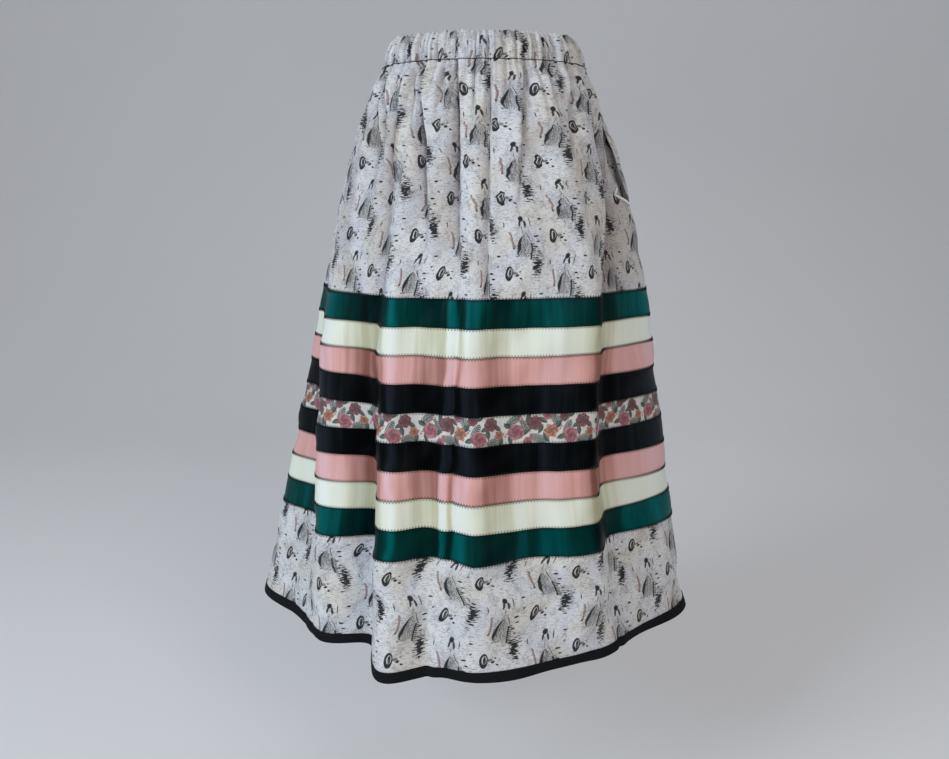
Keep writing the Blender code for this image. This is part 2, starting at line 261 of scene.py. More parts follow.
def smoothBetween(knots, values, at):
    # one row of values a knot; a smooth curve through them, read at every place in at
    values = np.asarray(values, float)
    at = np.clip(at, knots[0], knots[-1])
    i = np.clip(np.searchsorted(knots, at, side="right") - 1, 0, len(knots) - 2)
    before = np.maximum(np.arange(len(knots)) - 1, 0)
    after = np.minimum(np.arange(len(knots)) + 1, len(knots) - 1)
    flat = values.reshape(len(knots), -1)
    slopes = (flat[after] - flat[before]) / (knots[after] - knots[before])[:, None]
    span = (knots[i + 1] - knots[i])[:, None]
    s = (at - knots[i])[:, None] / span
    made = (
        (2 * s**3 - 3 * s**2 + 1) * flat[i]
        + (s**3 - 2 * s**2 + s) * span * slopes[i]
        + (3 * s**2 - 2 * s**3) * flat[i + 1]
        + (s**3 - s**2) * span * slopes[i + 1]
    )
    return made if values.ndim > 1 else made[:, 0]


def rampBetween(low, high, at):
    s = np.clip((at - low) / (high - low), 0, 1)
    return s * s * (3 - 2 * s)


def roundedBumps(turns, perTurn, shares):
    # unevenly spaced round the skirt, with sharp hollows between them
    bearing = 2 * np.pi * turns / foldCount
    place = (turns + 0.16 * np.sin(5 * bearing + 1) + 0.10 * np.sin(13 * bearing + 2)) * perTurn
    nearest = np.round(place)
    height = np.cos(np.pi * (place - nearest)) ** 0.8
    return shares[nearest.astype(int) % len(shares)] * height


def gathersAt(turns):
    return roundedBumps(turns, gathersPerTurn, gatherShares)[None, :]


def puckersAt(turns):
    # finer than the gathers and out of step with them
    return roundedBumps(turns + 0.13, 2 * gathersPerTurn, puckerShares)[None, :]


def creaseHidden(index, drops):
    # the share of a crease's cloth that it still hides
    top, bottom = creases["top"][index], creases["bottom"][index]
    return (1 - rampBetween(top + 0.45 * (bottom - top), bottom, drops))[:, None]


def creaseOpen(index, drops):
    # how deep a crease is down the skirt, as a share of its depth
    top = creases["top"][index]
    return rampBetween(top - 0.004, top + 0.012, drops)[:, None] * creaseHidden(index, drops)


def awayFrom(lines, index, turns, drops):
    # turns to the right of a crease or ridge, at every place
    down = np.clip((drops - lines["top"][index]) / (lines["bottom"][index] - lines["top"][index]), 0, 1)
    bend = lines["bend"][index] if "bend" in lines else 0.8
    line = lines["topTurn"][index] + (lines["bottomTurn"][index] - lines["topTurn"][index]) * down ** bend
    return turns[None, :] - line[:, None]


def widthsFrom(lines, index, turns, drops):
    # the same without its sign, in widths of the line's own left or right side
    away = awayFrom(lines, index, turns, drops)
    return np.where(away < 0, -away / lines["left"][index], away / lines["right"][index])


def byTheMouth(turns, drops):
    # how far the cloth stands out beside the pocket's mouth, in metres
    down = np.clip((drops - pocket["pullTop"]) / pocket["pullHeight"], 0, 1)
    share = np.sin(np.pi * down)[:, None]
    fromSunk = turns[None, :] - pocket["sunkTurn"] + pocket["sunkSlant"] * (drops[:, None] - pocket["sunkAt"])
    sunk = np.exp(-((fromSunk / pocket["sunkWidth"]) ** 2))
    raised = np.exp(-(((turns[None, :] - pocket["raisedTurn"]) / pocket["raisedWidth"]) ** 2))
    return share * (pocket["raisedHeight"] * raised - pocket["sunkDepth"] * sunk)


def largeFolds(turns, drops, section):
    # the angle and the radius of the skirt's oval with its large folds
    index = np.floor(turns + 1e-9).astype(int)
    share = (turns - index)[None, :]
    azimuths = smoothBetween(foldLevels, foldRows[:, 0:4].T, drops)
    reaches = smoothBetween(foldLevels, np.vstack([np.zeros(foldCount), foldRows[:, 4:7].T]), drops)
    drawn = np.sin(np.pi * np.clip((drops - sewn["ribbonTop"]) / drawnIn["height"], 0, 1)) ** 1.5
    for line, degrees in drawnIn["degrees"].items():
        azimuths[:, line] += degrees * drawn

    def foldColumn(grid, k, perTurn):
        return grid[:, k % foldCount] + perTurn * (k // foldCount)[None, :]

    azimuth, nextAzimuth = foldColumn(azimuths, index, 360), foldColumn(azimuths, index + 1, 360)
    reach, nextReach = foldColumn(reaches, index, 0), foldColumn(reaches, index + 1, 0)
    angle = np.radians(azimuth + (nextAzimuth - azimuth) * share)
    depth = np.where(np.cos(angle) > 0, section["front"], section["back"])
    width = section["halfWidth"]
    radius = width * depth / np.hypot(depth * np.sin(angle), width * np.cos(angle))
    radius += (reach + (nextReach - reach) * (0.5 - 0.5 * np.cos(np.pi * share))) / 1000
    softDepth = foldRows[index % foldCount, 7][None, :] / 1000
    radius -= section["soft"] * softDepth * (0.5 - 0.5 * np.cos(2 * np.pi * share))
    return angle, radius


def smallFolds(turns, drops, gather):
    # how far gathers, creases, ridges, wrinkles and ripples stand out from the large folds
    height = gather * (gathersAt(turns) - 0.5) + 0.55 * gather * (puckersAt(turns) - 0.3)
    for number in range(len(creaseRows)):
        sunk = np.exp(-1.6 * widthsFrom(creases, number, turns, drops) ** 1.25)
        height -= creases["depth"][number] * creaseOpen(number, drops) * sunk
    for number in range(len(ridgeRows)):
        reached = awayFrom(ridges, number, turns, drops) / ridges["width"][number]
        top, bottom = ridges["top"][number], ridges["bottom"][number]
        share = rampBetween(top - 0.03, top + 0.05, drops) * (1 - rampBetween(bottom - 0.10, bottom, drops))
        height += ridges["height"][number] * share[:, None] * np.exp(-(reached ** 2))
    for turn, slant, top, length, depth, width in zip(*wrinkles.values()):
        share = np.sin(np.pi * np.clip((drops - top) / length, 0, 1))[:, None]
        away = (turns[None, :] - turn - slant * (drops[:, None] - top) / length + foldCount / 2) % foldCount
        height -= depth * share * np.exp(-np.abs(away - foldCount / 2) / width)
    height += byTheMouth(turns, drops)
    inYoke = 0.35 + 0.65 * rampBetween(0.04, 0.12, drops)[:, None]
    for turnWave, dropWave, phase, waveHeight in rippleWaves:
        across = 2 * np.pi * turns[None, :] / (foldCount / round(foldCount / turnWave))
        height += waveHeight * inYoke * np.sin(across + 2 * np.pi * drops[:, None] / dropWave + phase)
    return height


def clothPoints(turns, drops):
    # the outer face of the cotton, one row a drop and one column a turn
    turns, drops = np.asarray(turns, float), np.asarray(drops, float)
    section = {
        name: smoothBetween(sections["drop"], sections[name], drops)[:, None] for name in sectionNames[1:]
    }
    angle, radius = largeFolds(turns, drops, section)
    radius += smallFolds(turns, drops, section["gather"])
    x = section["lean"] + radius * np.sin(angle)
    y = -radius * np.cos(angle)
    z = np.broadcast_to(-drops[:, None], x.shape)
    return np.stack([x, y, z], axis=2)


casingShade = {"start": 0.034, "end": 0.070, "inHollows": 0.60, "hollowWidth": 0.16, "all": 0.06}


def foldShade(turns, drops):
    # painted shade, 1 at the bottom of a crease and 0 out on the open cloth; the hollows of the casing get
    # painted shade too
    shade = np.zeros((len(drops), len(turns)))
    for number in range(len(creaseRows)):
        sunk = np.exp(-2.2 * widthsFrom(creases, number, turns, drops))
        shade = np.maximum(shade, creases["depth"][number] / 0.012 * creaseOpen(number, drops) * sunk)
    for number in range(len(shadeRows)):
        reached = widthsFrom(shades, number, turns, drops)
        top, bottom = shades["top"][number], shades["bottom"][number]
        share = rampBetween(top, top + 0.05, drops) * (1 - rampBetween(bottom - 0.06, bottom, drops))
        shade = shade + shades["tone"][number] * share[:, None] * np.exp(-1.2 * reached ** 1.5)
    gathered = (1 - rampBetween(casingShade["start"], casingShade["end"], drops))[:, None]
    hollows = np.exp(-puckersAt(turns) / casingShade["hollowWidth"])
    return np.clip(shade + gathered * (casingShade["inHollows"] * hollows + casingShade["all"]), 0, 1)


gridStep = {"turn": 0.01, "drop": 0.0008}


def clothGrid(turns, drops):
    # points, directions round the skirt and outward normals
    turns, drops = np.asarray(turns, float), np.asarray(drops, float)
    points = clothPoints(turns, drops)
    around = clothPoints(turns + gridStep["turn"], drops) - clothPoints(turns - gridStep["turn"], drops)
    low, high = np.minimum(drops + gridStep["drop"], sewn["hem"]), np.maximum(drops - gridStep["drop"], 0)
    down = clothPoints(turns, low) - clothPoints(turns, high)
    outwards = np.cross(down, around)
    around /= np.linalg.norm(around, axis=2, keepdims=True)
    outwards /= np.linalg.norm(outwards, axis=2, keepdims=True)
    return points, around, outwards


def pocketGape(drops):
    share = np.clip((drops - sewn["pocketTop"]) / (sewn["pocketBottom"] - sewn["pocketTop"]), 0, 1)
    return pocket["gape"] / 2 * np.minimum(1.0, 4 * share * (1 - share) / 0.75)


def mouthNotch(drops):
    # turns that the front edge is pulled back along the pocket's mouth
    corner = np.clip(1 - np.abs(drops - sewn["pocketCorner"]) / pocket["cornerHeight"], 0, 1)
    along = np.sin(np.pi * np.clip((drops - pocket["pullTop"]) / pocket["edgeHeight"], 0, 1))
    return pocket["cornerPull"] * corner + pocket["edgePull"] * along


def pulledBack(rows, turns, drops):
    # a grid of values with its last columns drawn towards the notch
    pull = mouthNotch(drops)[:, None] * rampBetween(rightSeam - 1.0, float(rightSeam), turns)[None, :] ** 1.5
    return np.stack([
        np.stack([np.interp(turns - pull[row], turns, rows[row, :, k]) for k in range(rows.shape[2])], axis=1)
        for row in range(len(drops))
    ])


cutWidths = {  # metres of flat cloth from seam to seam at each drop
    "drop": np.array([0.0, 0.038, 0.10, 0.20, 0.351, 0.55, 0.687, 0.832]),
    "Front": np.array([0.580, 0.590, 0.650, 0.735, 0.800, 0.855, 0.900, 0.940]),
    "Back": np.array([0.640, 0.650, 0.710, 0.800, 0.900, 1.000, 1.080, 1.180]),
}


def flatCloth(points, turns, drops, side=None):
    # metres across the flat cloth, from the middle of the front or back, or from the first column
    if side == "ribbon":
        return np.broadcast_to(ribbonPlace(turns), points.shape[:2])
    steps = np.linalg.norm(np.diff(points, axis=1), axis=2)
    across = np.concatenate([np.zeros((len(drops), 1)), np.cumsum(steps, axis=1)], axis=1)
    if side is None:
        return across
    for number in range(len(creaseRows)):
        away = awayFrom(creases, number, turns, drops)
        passed = rampBetween(-1.0, 1.0, away / np.minimum(creases["left"][number], creases["right"][number]))
        across += creases["hides"][number] * creaseHidden(number, drops) * passed
    share = across / across[:, -1:] - 0.5
    return share * smoothBetween(cutWidths["drop"], cutWidths[side], drops)[:, None]


# Every ribbon's folds lie in line with the middle one's, so they share its lengths round the skirt.
ribbonTurns = np.linspace(0, foldCount, foldCount * 40 + 1)
ribbonRow = clothPoints(ribbonTurns, [0.52])[0]
ribbonRun = np.concatenate([[0], np.cumsum(np.linalg.norm(np.diff(ribbonRow, axis=0), axis=1))])


def ribbonPlace(turns):
    # metres along the middle ribbon from the left seam
    return np.interp(turns, ribbonTurns, ribbonRun)


fallKnots = np.linspace(0, sewn["hem"], 120)
fallRows = clothPoints(np.linspace(0, foldCount, 89)[:-1], fallKnots)
fallLengths = np.concatenate([[0], np.cumsum(np.linalg.norm(np.diff(fallRows, axis=0), axis=2).mean(axis=1))])


def fallAt(drops):
    # length of cloth from the top edge down to a drop
    return np.interp(drops, fallKnots, fallLengths)


def evenTurns(start, end, perTurn):
    return np.linspace(start, end, round((end - start) * perTurn) + 1)


def evenDrops(start, end, step):
    return np.linspace(start, end, max(2, round((end - start) / step) + 1))


def rideAs(piece, slotName, *nodes):
    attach(piece, "root")
    if nodes:
        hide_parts(*nodes)
    return piece


def addMesh(name, vertices, faces, uvs=None, material=None):
    mesh = bpy.data.meshes.new(name)
    vertices, faces = np.asarray(vertices, np.float32), np.asarray(faces, np.int32)
    perFace = faces.shape[1]
    mesh.vertices.add(len(vertices))
    mesh.vertices.foreach_set("co", vertices.ravel())
    mesh.loops.add(faces.size)
    mesh.loops.foreach_set("vertex_index", faces.ravel())
    mesh.polygons.add(len(faces))
    mesh.polygons.foreach_set("loop_start", np.arange(0, faces.size, perFace, dtype=np.int32))
    mesh.update(calc_edges=True)
    if uvs is not None:
        layer = mesh.uv_layers.new(name="flatCloth")
        layer.data.foreach_set("uv", np.asarray(uvs, np.float32)[faces.ravel()].ravel())
    mesh.shade_smooth()
    mesh.set_sharp_from_angle(angle=math.radians(62))
    piece = bpy.data.objects.new(name, mesh)
    bpy.context.scene.collection.objects.link(piece)
    if material:
        mesh.materials.append(material)
    return piece


def gridFaces(rows, columns, start=0, closed=False):
    across = columns if closed else columns - 1
    i, j = np.meshgrid(np.arange(rows - 1), np.arange(across), indexing="ij")
    a = start + i * columns + j
    b = start + i * columns + (j + 1) % columns
    return np.stack([a, a + columns, b + columns, b], axis=2).reshape(-1, 4)


def wallFaces(rows, columns, closed=False):
    # outer grid, inner grid facing the other way, and the rim that joins them
    count = rows * columns
    outer = gridFaces(rows, columns, 0, closed)
    inner = gridFaces(rows, columns, count, closed)[:, ::-1]
    across = np.arange(columns if closed else columns - 1)
    step = (across + 1) % columns
    top = np.stack([across, step, step + count, across + count], axis=1)
    low = (rows - 1) * columns
    bottom = np.stack([low + step, low + across, low + across + count, low + step + count], axis=1)
    parts = [outer, inner, top, bottom]
    if not closed:
        k = np.arange(rows - 1) * columns
        parts.append(np.stack([k + columns, k, k + count, k + columns + count], axis=1))
        r = k + columns - 1
        parts.append(np.stack([r, r + columns, r + columns + count, r + count], axis=1))
    return np.concatenate(parts)


def clothWall(name, turns, drops, outerLift, innerLift, material, side=None, seams=True, rise=0.0):
    # a two-sided wall of cloth along the skirt's surface, with its place on the flat cloth as its UVs
    turns, drops = np.asarray(turns, float), np.asarray(drops, float)
    points, around, outwards = clothGrid(turns, drops)
    across = flatCloth(points, turns, drops, side)
    uvs = np.stack([across, np.broadcast_to(-fallAt(drops)[:, None], across.shape)], axis=2)
    if name == "panelFront":
        points, outwards, uvs = (pulledBack(rows, turns, drops) for rows in (points, outwards, uvs))
    if seams:
        for column, sign in ((0, 1), (-1, -1)):
            setback = np.full(len(drops), sewn["ribbonGap" if side == "ribbon" else "seamGap"] / 2)
            if abs(turns[column] - rightSeam) < 1e-6:
                setback = setback + pocketGape(drops)
            points[:, column] += sign * around[:, column] * setback[:, None]
    points[:, :, 2] += rise
    outer = points + outwards * np.broadcast_to(outerLift, points.shape[:2])[:, :, None]
    inner = points + outwards * np.broadcast_to(innerLift, points.shape[:2])[:, :, None]
    vertices = np.concatenate([outer.reshape(-1, 3), inner.reshape(-1, 3)])
    uvs = np.concatenate([uvs.reshape(-1, 2)] * 2)
    piece = addMesh(name, vertices, wallFaces(len(drops), len(turns)), uvs, material)
    # painted shade of the folds, and which face is the reverse, as point attributes for the materials
    shade = foldShade(turns, drops).ravel()
    for attribute, outerValues, innerValues in (
        ("foldShade", shade, shade), ("reverse", np.zeros(len(shade)), np.ones(len(shade)))
    ):
        layer = piece.data.attributes.new(attribute, "FLOAT", "POINT")
        layer.data.foreach_set("value", np.concatenate([outerValues, innerValues]).astype(np.float32))
    return piece


# Formulas in materials: a Wire is a value in a node tree, and sums of wires make the Math nodes.

class Wire:
    def __init__(self, socket):
        self.socket = socket

    def math(self, operation, *others):
        node = self.socket.id_data.nodes.new("ShaderNodeMath")
        node.operation = operation
        for slot, value in zip(node.inputs, (self, *others)):
            if isinstance(value, Wire):
                node.id_data.links.new(value.socket, slot)
            else:
                slot.default_value = value
        return Wire(node.outputs[0])

    def __add__(self, other):
        return self.math("ADD", other)

    def __sub__(self, other):
        return self.math("SUBTRACT", other)

    def __mul__(self, other):
        return self.math("MULTIPLY", other)

    def __truediv__(self, other):
        return self.math("DIVIDE", other)

    def fraction(self):
        return self.math("FRACT")

    def absolute(self):
        return self.math("ABSOLUTE")

    def below(self, edge, softness):
        # 1 under the edge and 0 over it, smooth between
        if isinstance(edge, Wire):
            return (self - edge).below(0.0, softness)
        node = self.socket.id_data.nodes.new("ShaderNodeMapRange")
        node.interpolation_type = "SMOOTHSTEP"
        node.id_data.links.new(self.socket, node.inputs["Value"])
        places = {"From Min": edge - softness, "From Max": edge + softness, "To Min": 1.0, "To Max": 0.0}
        for name, value in places.items():
            node.inputs[name].default_value = value
        return Wire(node.outputs["Result"])

    def above(self, edge, softness):
        return self.below(edge, softness).inverse()

    def inverse(self):
        return (self * -1.0) + 1.0


def newMaterial(name):
    made = bpy.data.materials.new(name)
    made.use_nodes = True
    return made, made.node_tree, made.node_tree.nodes["Principled BSDF"]


def addNode(tree, kind, **inputs):
    node = tree.nodes.new(kind)
    for name, value in inputs.items():
        slot = node.inputs[name]
        if isinstance(value, Wire):
            tree.links.new(value.socket, slot)
        else:
            slot.default_value = value
    return node


def clothPlace(tree):
    # metres across and up the flat cloth
    uv = tree.nodes.new("ShaderNodeUVMap")
    uv.uv_map = "flatCloth"
    split = tree.nodes.new("ShaderNodeSeparateXYZ")
    tree.links.new(uv.outputs["UV"], split.inputs[0])
    return Wire(split.outputs["X"]), Wire(split.outputs["Y"])


def noiseAt(tree, across, up, scale, detail=2.0, roughness=0.5, stretch=(1.0, 1.0)):
    # noise on the flat cloth, in features of about 1/scale metres
    place = addNode(tree, "ShaderNodeCombineXYZ", X=across * stretch[0], Y=up * stretch[1])
    noise = addNode(tree, "ShaderNodeTexNoise", Scale=scale, Detail=detail, Roughness=roughness)
    tree.links.new(place.outputs[0], noise.inputs["Vector"])
    return Wire(noise.outputs["Fac"])


def attributeAt(tree, name):
    node = tree.nodes.new("ShaderNodeAttribute")
    node.attribute_name = name
    return Wire(node.outputs["Fac"])


def blendColour(tree, share, first, second, mode="MIX"):
    # first where share is 0, second where it is 1; colours are sockets or tuples
    node = tree.nodes.new("ShaderNodeMix")
    node.data_type = "RGBA"
    node.blend_type = mode
    for slot, value in (("Factor", share), ("A", first), ("B", second)):
        index = next(i for i, s in enumerate(node.inputs) if s.name == slot and s.enabled)
        if isinstance(value, Wire):
            tree.links.new(value.socket, node.inputs[index])
        elif isinstance(value, bpy.types.NodeSocket):
            tree.links.new(value, node.inputs[index])
        else:
            node.inputs[index].default_value = (*value, 1.0) if hasattr(value, "__len__") else value
    return next(s for s in node.outputs if s.enabled)


def weaveHeight(tree, across, up, threads):
    # plain weave: threads a metre, over and under
    warp = (across * (threads * math.pi)).math("SINE")
    weft = (up * (threads * math.pi)).math("SINE")
    return warp * weft


def setBump(tree, shader, height, strength, distance):
    bump = addNode(tree, "ShaderNodeBump", Height=height, Strength=strength, Distance=distance)
    tree.links.new(bump.outputs["Normal"], shader.inputs["Normal"])


def finishCloth(tree, shader, colour, finish):
    tree.links.new(colour, shader.inputs["Base Color"])
    for name, value in finish.items():
        shader.inputs[name].default_value = value


birchFinish = {"Roughness": 0.86, "Sheen Weight": 0.12, "Sheen Roughness": 0.6, "Specular IOR Level": 0.25}
birchPrint = {
    "column": 0.068,  # metres between columns of marks; each column is half a repeat lower than the last
    "repeat": 0.100,
    "ground": (0.63, 0.63, 0.645),
    "coolGround": (0.55, 0.56, 0.62),
    "warmGround": (0.60, 0.57, 0.53),
    "grey": (0.120, 0.118, 0.125),
    "ink": (0.016, 0.016, 0.018),
    "rust": (0.30, 0.16, 0.13),
    "foldShade": (0.38, 0.31, 0.31),
    "foldShadeStrength": 0.8,
    "reverse": (0.58, 0.57, 0.55),
    "reverseStrength": 0.62,
    "wander": 1.6,  # millimetres
}

# Marks of one column: kind, x and y in millimetres from the middle of its cell, half width, half height, lean
# and strength of ink.
barkMarks = [
    ("haze", -1, 4, 19, 26, 0.0, 0.55),
    ("haze", 20, -14, 12, 12, 0.0, 0.45),
    ("scar", -3, 2, 12.0, 15, 0.05, 1.0),
    ("cap", -2, 38, 4.4, 4.4, 0.10, 1.0),
    ("cap", -5.0, 32.0, 2.0, 5.2, 0.25, 0.95),
    ("cap", 2.2, 31.5, 2.2, 5.6, -0.12, 0.95),
    ("stem", -2.6, 23.0, 0.7, 6.5, 0.08, 0.6),
    ("stem", 5.2, 13.0, 0.9, 8.0, -0.55, 0.85),
    ("comb", 9.2, -5, 3.4, 11.5, 0.03, 1.0),
    ("eye", -24, -34, 5.4, 9.0, 0.12, 1.0),
    ("burst", 19, -24, 8.2, 16.0, 0.05, 1.0),
    ("peel", -20, 9, 1.25, 11.5, -0.10, 0.85),
    ("dash", 10, 34, 0.9, 7.0, 0.02, 0.9),
    ("dash", -28, 30, 1.0, 4.5, -0.05, 0.85),
    ("slot", 16, 15, 4.2, 1.4, 0.15, 1.0),
    ("slot", 19, 8, 3.4, 1.2, -0.10, 1.0),
    ("slot", 14, 1, 4.0, 1.4, 0.10, 0.95),
    ("slot", 18, -5, 2.8, 1.1, 0.10, 0.9),
    ("slot", 26, 38, 3.6, 1.4, -0.20, 1.0),
    ("slot", -14, -12, 2.4, 0.9, 0.30, 0.8),
    ("blot", 26, 24, 2.2, 1.6, 0.4, 0.8),
    ("blot", -12, -37, 2.9, 2.0, 0.6, 1.0),
    ("blot", -6.5, -41, 2.3, 1.6, -0.4, 1.0),
    ("blot", -8, -32, 1.7, 1.2, 0.2, 0.9),
]


def awayFromMiddle(wide, tall):
    # 1 on the rim of a round mark
    return (wide * wide + tall * tall).math("SQRT")


def layBark(tree, across, up, grain):
    # pale bark with cool and warm clouds, fibres, flecks and soot
    cool = noiseAt(tree, across, up, 22, 1, 0.5).above(0.52, 0.10)
    warm = noiseAt(tree, across + 3.0, up, 17, 1, 0.5).above(0.55, 0.10)
    colour = blendColour(tree, cool * 0.75, birchPrint["ground"], birchPrint["coolGround"])
    colour = blendColour(tree, warm * 0.8, colour, birchPrint["warmGround"])
    fibres = noiseAt(tree, across, up, 420, 4, 0.65, (0.35, 1.6)).above(0.56, 0.08)
    patches = noiseAt(tree, across + 1.0, up, 60, 2, 0.6).above(0.46, 0.14)
    colour = blendColour(tree, fibres * patches * 0.6, colour, birchPrint["grey"])
    flecks = noiseAt(tree, across, up + 2.0, 560, 2, 0.5, (0.6, 1.4)).above(0.655, 0.03)
    colour = blendColour(tree, flecks * 0.75, colour, birchPrint["ink"])
    soot = noiseAt(tree, across + 2.0, up, 75, 3, 0.7, (1.0, 0.8)).above(0.57, 0.07)
    return blendColour(tree, soot * grain * 0.6, colour, birchPrint["grey"])


# Each mark gives the colour so far, with what lies under its ink, and where its ink goes.


def drawHaze(tree, colour, mark, grit):
    away = awayFromMiddle(mark["wide"], mark["tall"]) + grit["coarse"] * 1.6
    return colour, away.below(0.85, 0.35) * grit["grain"]


def drawScar(tree, colour, mark, grit):
    # an arch: narrow above, wide and ragged below, with a dark left edge
    wide, tall = mark["wide"], mark["tall"]
    fall = ((tall * -0.5) + 0.5).math("MAXIMUM", 0.001)
    foot = fall.inverse().math("MAXIMUM", 0.001).math("POWER", 0.32)
    body = fall.math("POWER", 0.8) * foot * 1.9
    away = wide.absolute() / body + grit["rim"] * 0.7
    inside = away.below(1.0, 0.10) * tall.absolute().below(1.0, 0.03)
    hatch = grit["streaks"].above(0.48, 0.10)
    fading = wide.below(0.10, 0.80) * grit["ragged"].above(-0.10, 0.12) * tall.above(-0.70, 0.45)
    colour = blendColour(tree, inside * fading * (hatch * 0.45 + 0.42), colour, birchPrint["grey"])
    lines = inside * hatch * grit["ragged"].above(-0.02, 0.05) * 0.75
    colour = blendColour(tree, lines, colour, birchPrint["ink"])
    wedge = tall.above(-0.45, 0.4) * 0.26
    edge = (away - 0.82).absolute().below(wedge + 0.05, 0.03)
    return colour, edge * inside * wide.below(-0.02, 0.30)


def drawComb(tree, colour, mark, grit):
    # a spine with teeth
    wide, tall = mark["wide"], mark["tall"]
    tooth = ((mark["v"] * 0.42).fraction() - 0.5).absolute().below(0.24, 0.10)
    spine = (wide + 0.55).absolute().below(0.38, 0.20)
    reach = tall.absolute().below(0.95, 0.06) * (wide + grit["rim"]).absolute().below(1.0, 0.25)
    return colour, reach * spine.math("MAXIMUM", tooth)


def drawEye(tree, colour, mark, grit):
    # a ring round a dark core, with a whisker beside it
    wide, tall, rim, streaks = mark["wide"], mark["tall"], grit["rim"], grit["streaks"]
    away = awayFromMiddle(wide, tall) + rim * 0.35
    thick = (wide * -0.09) + (tall * -0.08) + 0.23
    ring = (away - 0.84).absolute().below(thick, 0.06)
    core = ((wide - 0.12) * (wide - 0.12) * 3.6 + tall * tall * 1.7 + rim * 0.6).below(0.60, 0.16)
    core = core * (streaks.above(0.40, 0.12) * 0.5 + 0.5)
    whisker = tall.absolute().below(0.20, 0.12) * (wide - 1.5).absolute().below(0.7, 0.2)
    return colour, ring.math("MAXIMUM", core).math("MAXIMUM", whisker * streaks * 1.5)


def drawBurst(tree, colour, mark, grit):
    spike = noiseAt(tree, grit["across"], grit["up"] + 5.0, 420, 2, 0.6, (0.28, 1.5)) - 0.5
    away = awayFromMiddle(mark["wide"], mark["tall"]) + spike * 4.2
    return colour, away.below(0.78, 0.06)


def drawPeel(tree, colour, mark, grit):
    # a rust sliver with a dark foot, and its shadow on the right
    tall, halfWidth = mark["tall"], mark["halfWidth"]
    bend = mark["u"] + (tall * tall) * 1.6
    body = (bend / halfWidth).absolute() + grit["rim"] * 0.6
    inside = body.below(1.0, 0.20) * tall.absolute().below(1.0, 0.05)
    colour = blendColour(tree, inside * mark["ink"], colour, birchPrint["rust"])
    shade = (bend / halfWidth - 1.2).absolute().below(0.40, 0.2) * tall.absolute().below(0.95, 0.05)
    return colour, (inside * tall.below(-0.78, 0.10)).math("MAXIMUM", shade * 0.8)


def drawSpot(tree, colour, mark, grit):
    # caps, stems, dashes, slots and blots
    roughness = 1.3 if mark["kind"] in ("cap", "stem", "blot") else 0.7
    away = awayFromMiddle(mark["wide"], mark["tall"]) + grit["rim"] * roughness
    return colour, away.below(0.85, 0.18)


markDrawings = {
    "haze": drawHaze,
    "scar": drawScar,
    "comb": drawComb,
    "eye": drawEye,
    "burst": drawBurst,
    "peel": drawPeel,
}


def makeBirchMaterial():
    made, tree, shader = newMaterial("birchCotton")
    across, up = clothPlace(tree)
    width, repeat = birchPrint["column"], birchPrint["repeat"]
    parity = ((across / width).math("FLOOR") * 0.5).fraction() * 2.0
    x = ((across / width).fraction() - 0.5) * (width * 1000)
    lifted = up + (parity * (repeat / 2)) + 8.0  # a whole number of repeats up, so that none is below zero
    y = ((lifted / repeat).fraction() - 0.5) * (repeat * 1000)
    ragged = noiseAt(tree, across, up, 900, 3, 0.6) - 0.5
    coarse = noiseAt(tree, across, up, 260, 2, 0.5) - 0.5
    grit = {
        "across": across,
        "up": up,
        "ragged": ragged,
        "rim": ragged * 0.5,
        "coarse": coarse,
        "streaks": noiseAt(tree, across, up, 700, 2, 0.6, (1.0, 0.12)),
        "grain": noiseAt(tree, across, up + 4.0, 800, 3, 0.7, (0.7, 1.3)).above(0.50, 0.12),
    }
    x, y = x + coarse * birchPrint["wander"], y + coarse * birchPrint["wander"]
    colour = layBark(tree, across, up, grit["grain"])
    for kind, markX, markY, halfWidth, halfHeight, lean, ink in barkMarks:
        v = y - markY
        u = (x - markX) - (v * lean)
        mark = {"kind": kind, "u": u, "v": v, "wide": u / halfWidth, "tall": v / halfHeight}
        mark.update({"halfWidth": halfWidth, "ink": ink})
        colour, mask = markDrawings.get(kind, drawSpot)(tree, colour, mark, grit)
        colour = blendColour(tree, mask * ink, colour, birchPrint["grey" if kind == "haze" else "ink"])
    reverse = attributeAt(tree, "reverse") * birchPrint["reverseStrength"]
    colour = blendColour(tree, reverse, colour, birchPrint["reverse"])
    # painted shade in the creases, beside the yoke's folds and in the casing's hollows
    paintedFoldShade = attributeAt(tree, "foldShade") * birchPrint["foldShadeStrength"]
    colour = blendColour(tree, paintedFoldShade, colour, birchPrint["foldShade"], "MULTIPLY")
    finishCloth(tree, shader, colour, birchFinish)
    crumple = noiseAt(tree, across, up, 38, 3, 0.55)
    setBump(tree, shader, crumple + weaveHeight(tree, across, up, 2400) * 0.02, 0.35, 0.003)
    return made


# Each satin's colours: "base" is its own colour, "shade" the painted shade in its folds and "shine" the
# painted sheen on their lit sides.
satin = {
    "green": {"shade": (0.000, 0.005, 0.0045), "base": (0.000, 0.026, 0.023), "shine": (0.000, 0.132, 0.140)},
    "cream": {"shade": (0.42, 0.41, 0.27), "base": (0.68, 0.70, 0.59), "shine": (0.75, 0.81, 0.82)},
    "pink": {"shade": (0.21, 0.082, 0.061), "base": (0.61, 0.32, 0.290), "shine": (0.71, 0.49, 0.55)},
    "black": {
        "shade": (0.0001, 0.0002, 0.0003), "base": (0.0016, 0.0025, 0.0030), "shine": (0.015, 0.020, 0.028),
    },
}
satinFinish = {"Roughness": 0.42, "Anisotropic": 0.4, "Specular IOR Level": 0.15}


# One line of shine of the front leans to the left on its way down, by "lean" metres over "height" metres.
leaningShine = {
    "turn": 5.55,
    "width": 0.055,
    "softness": 0.035,
    "lean": 0.030,
    "start": -0.44,  # up the cloth from the top edge
    "height": 0.28,
}
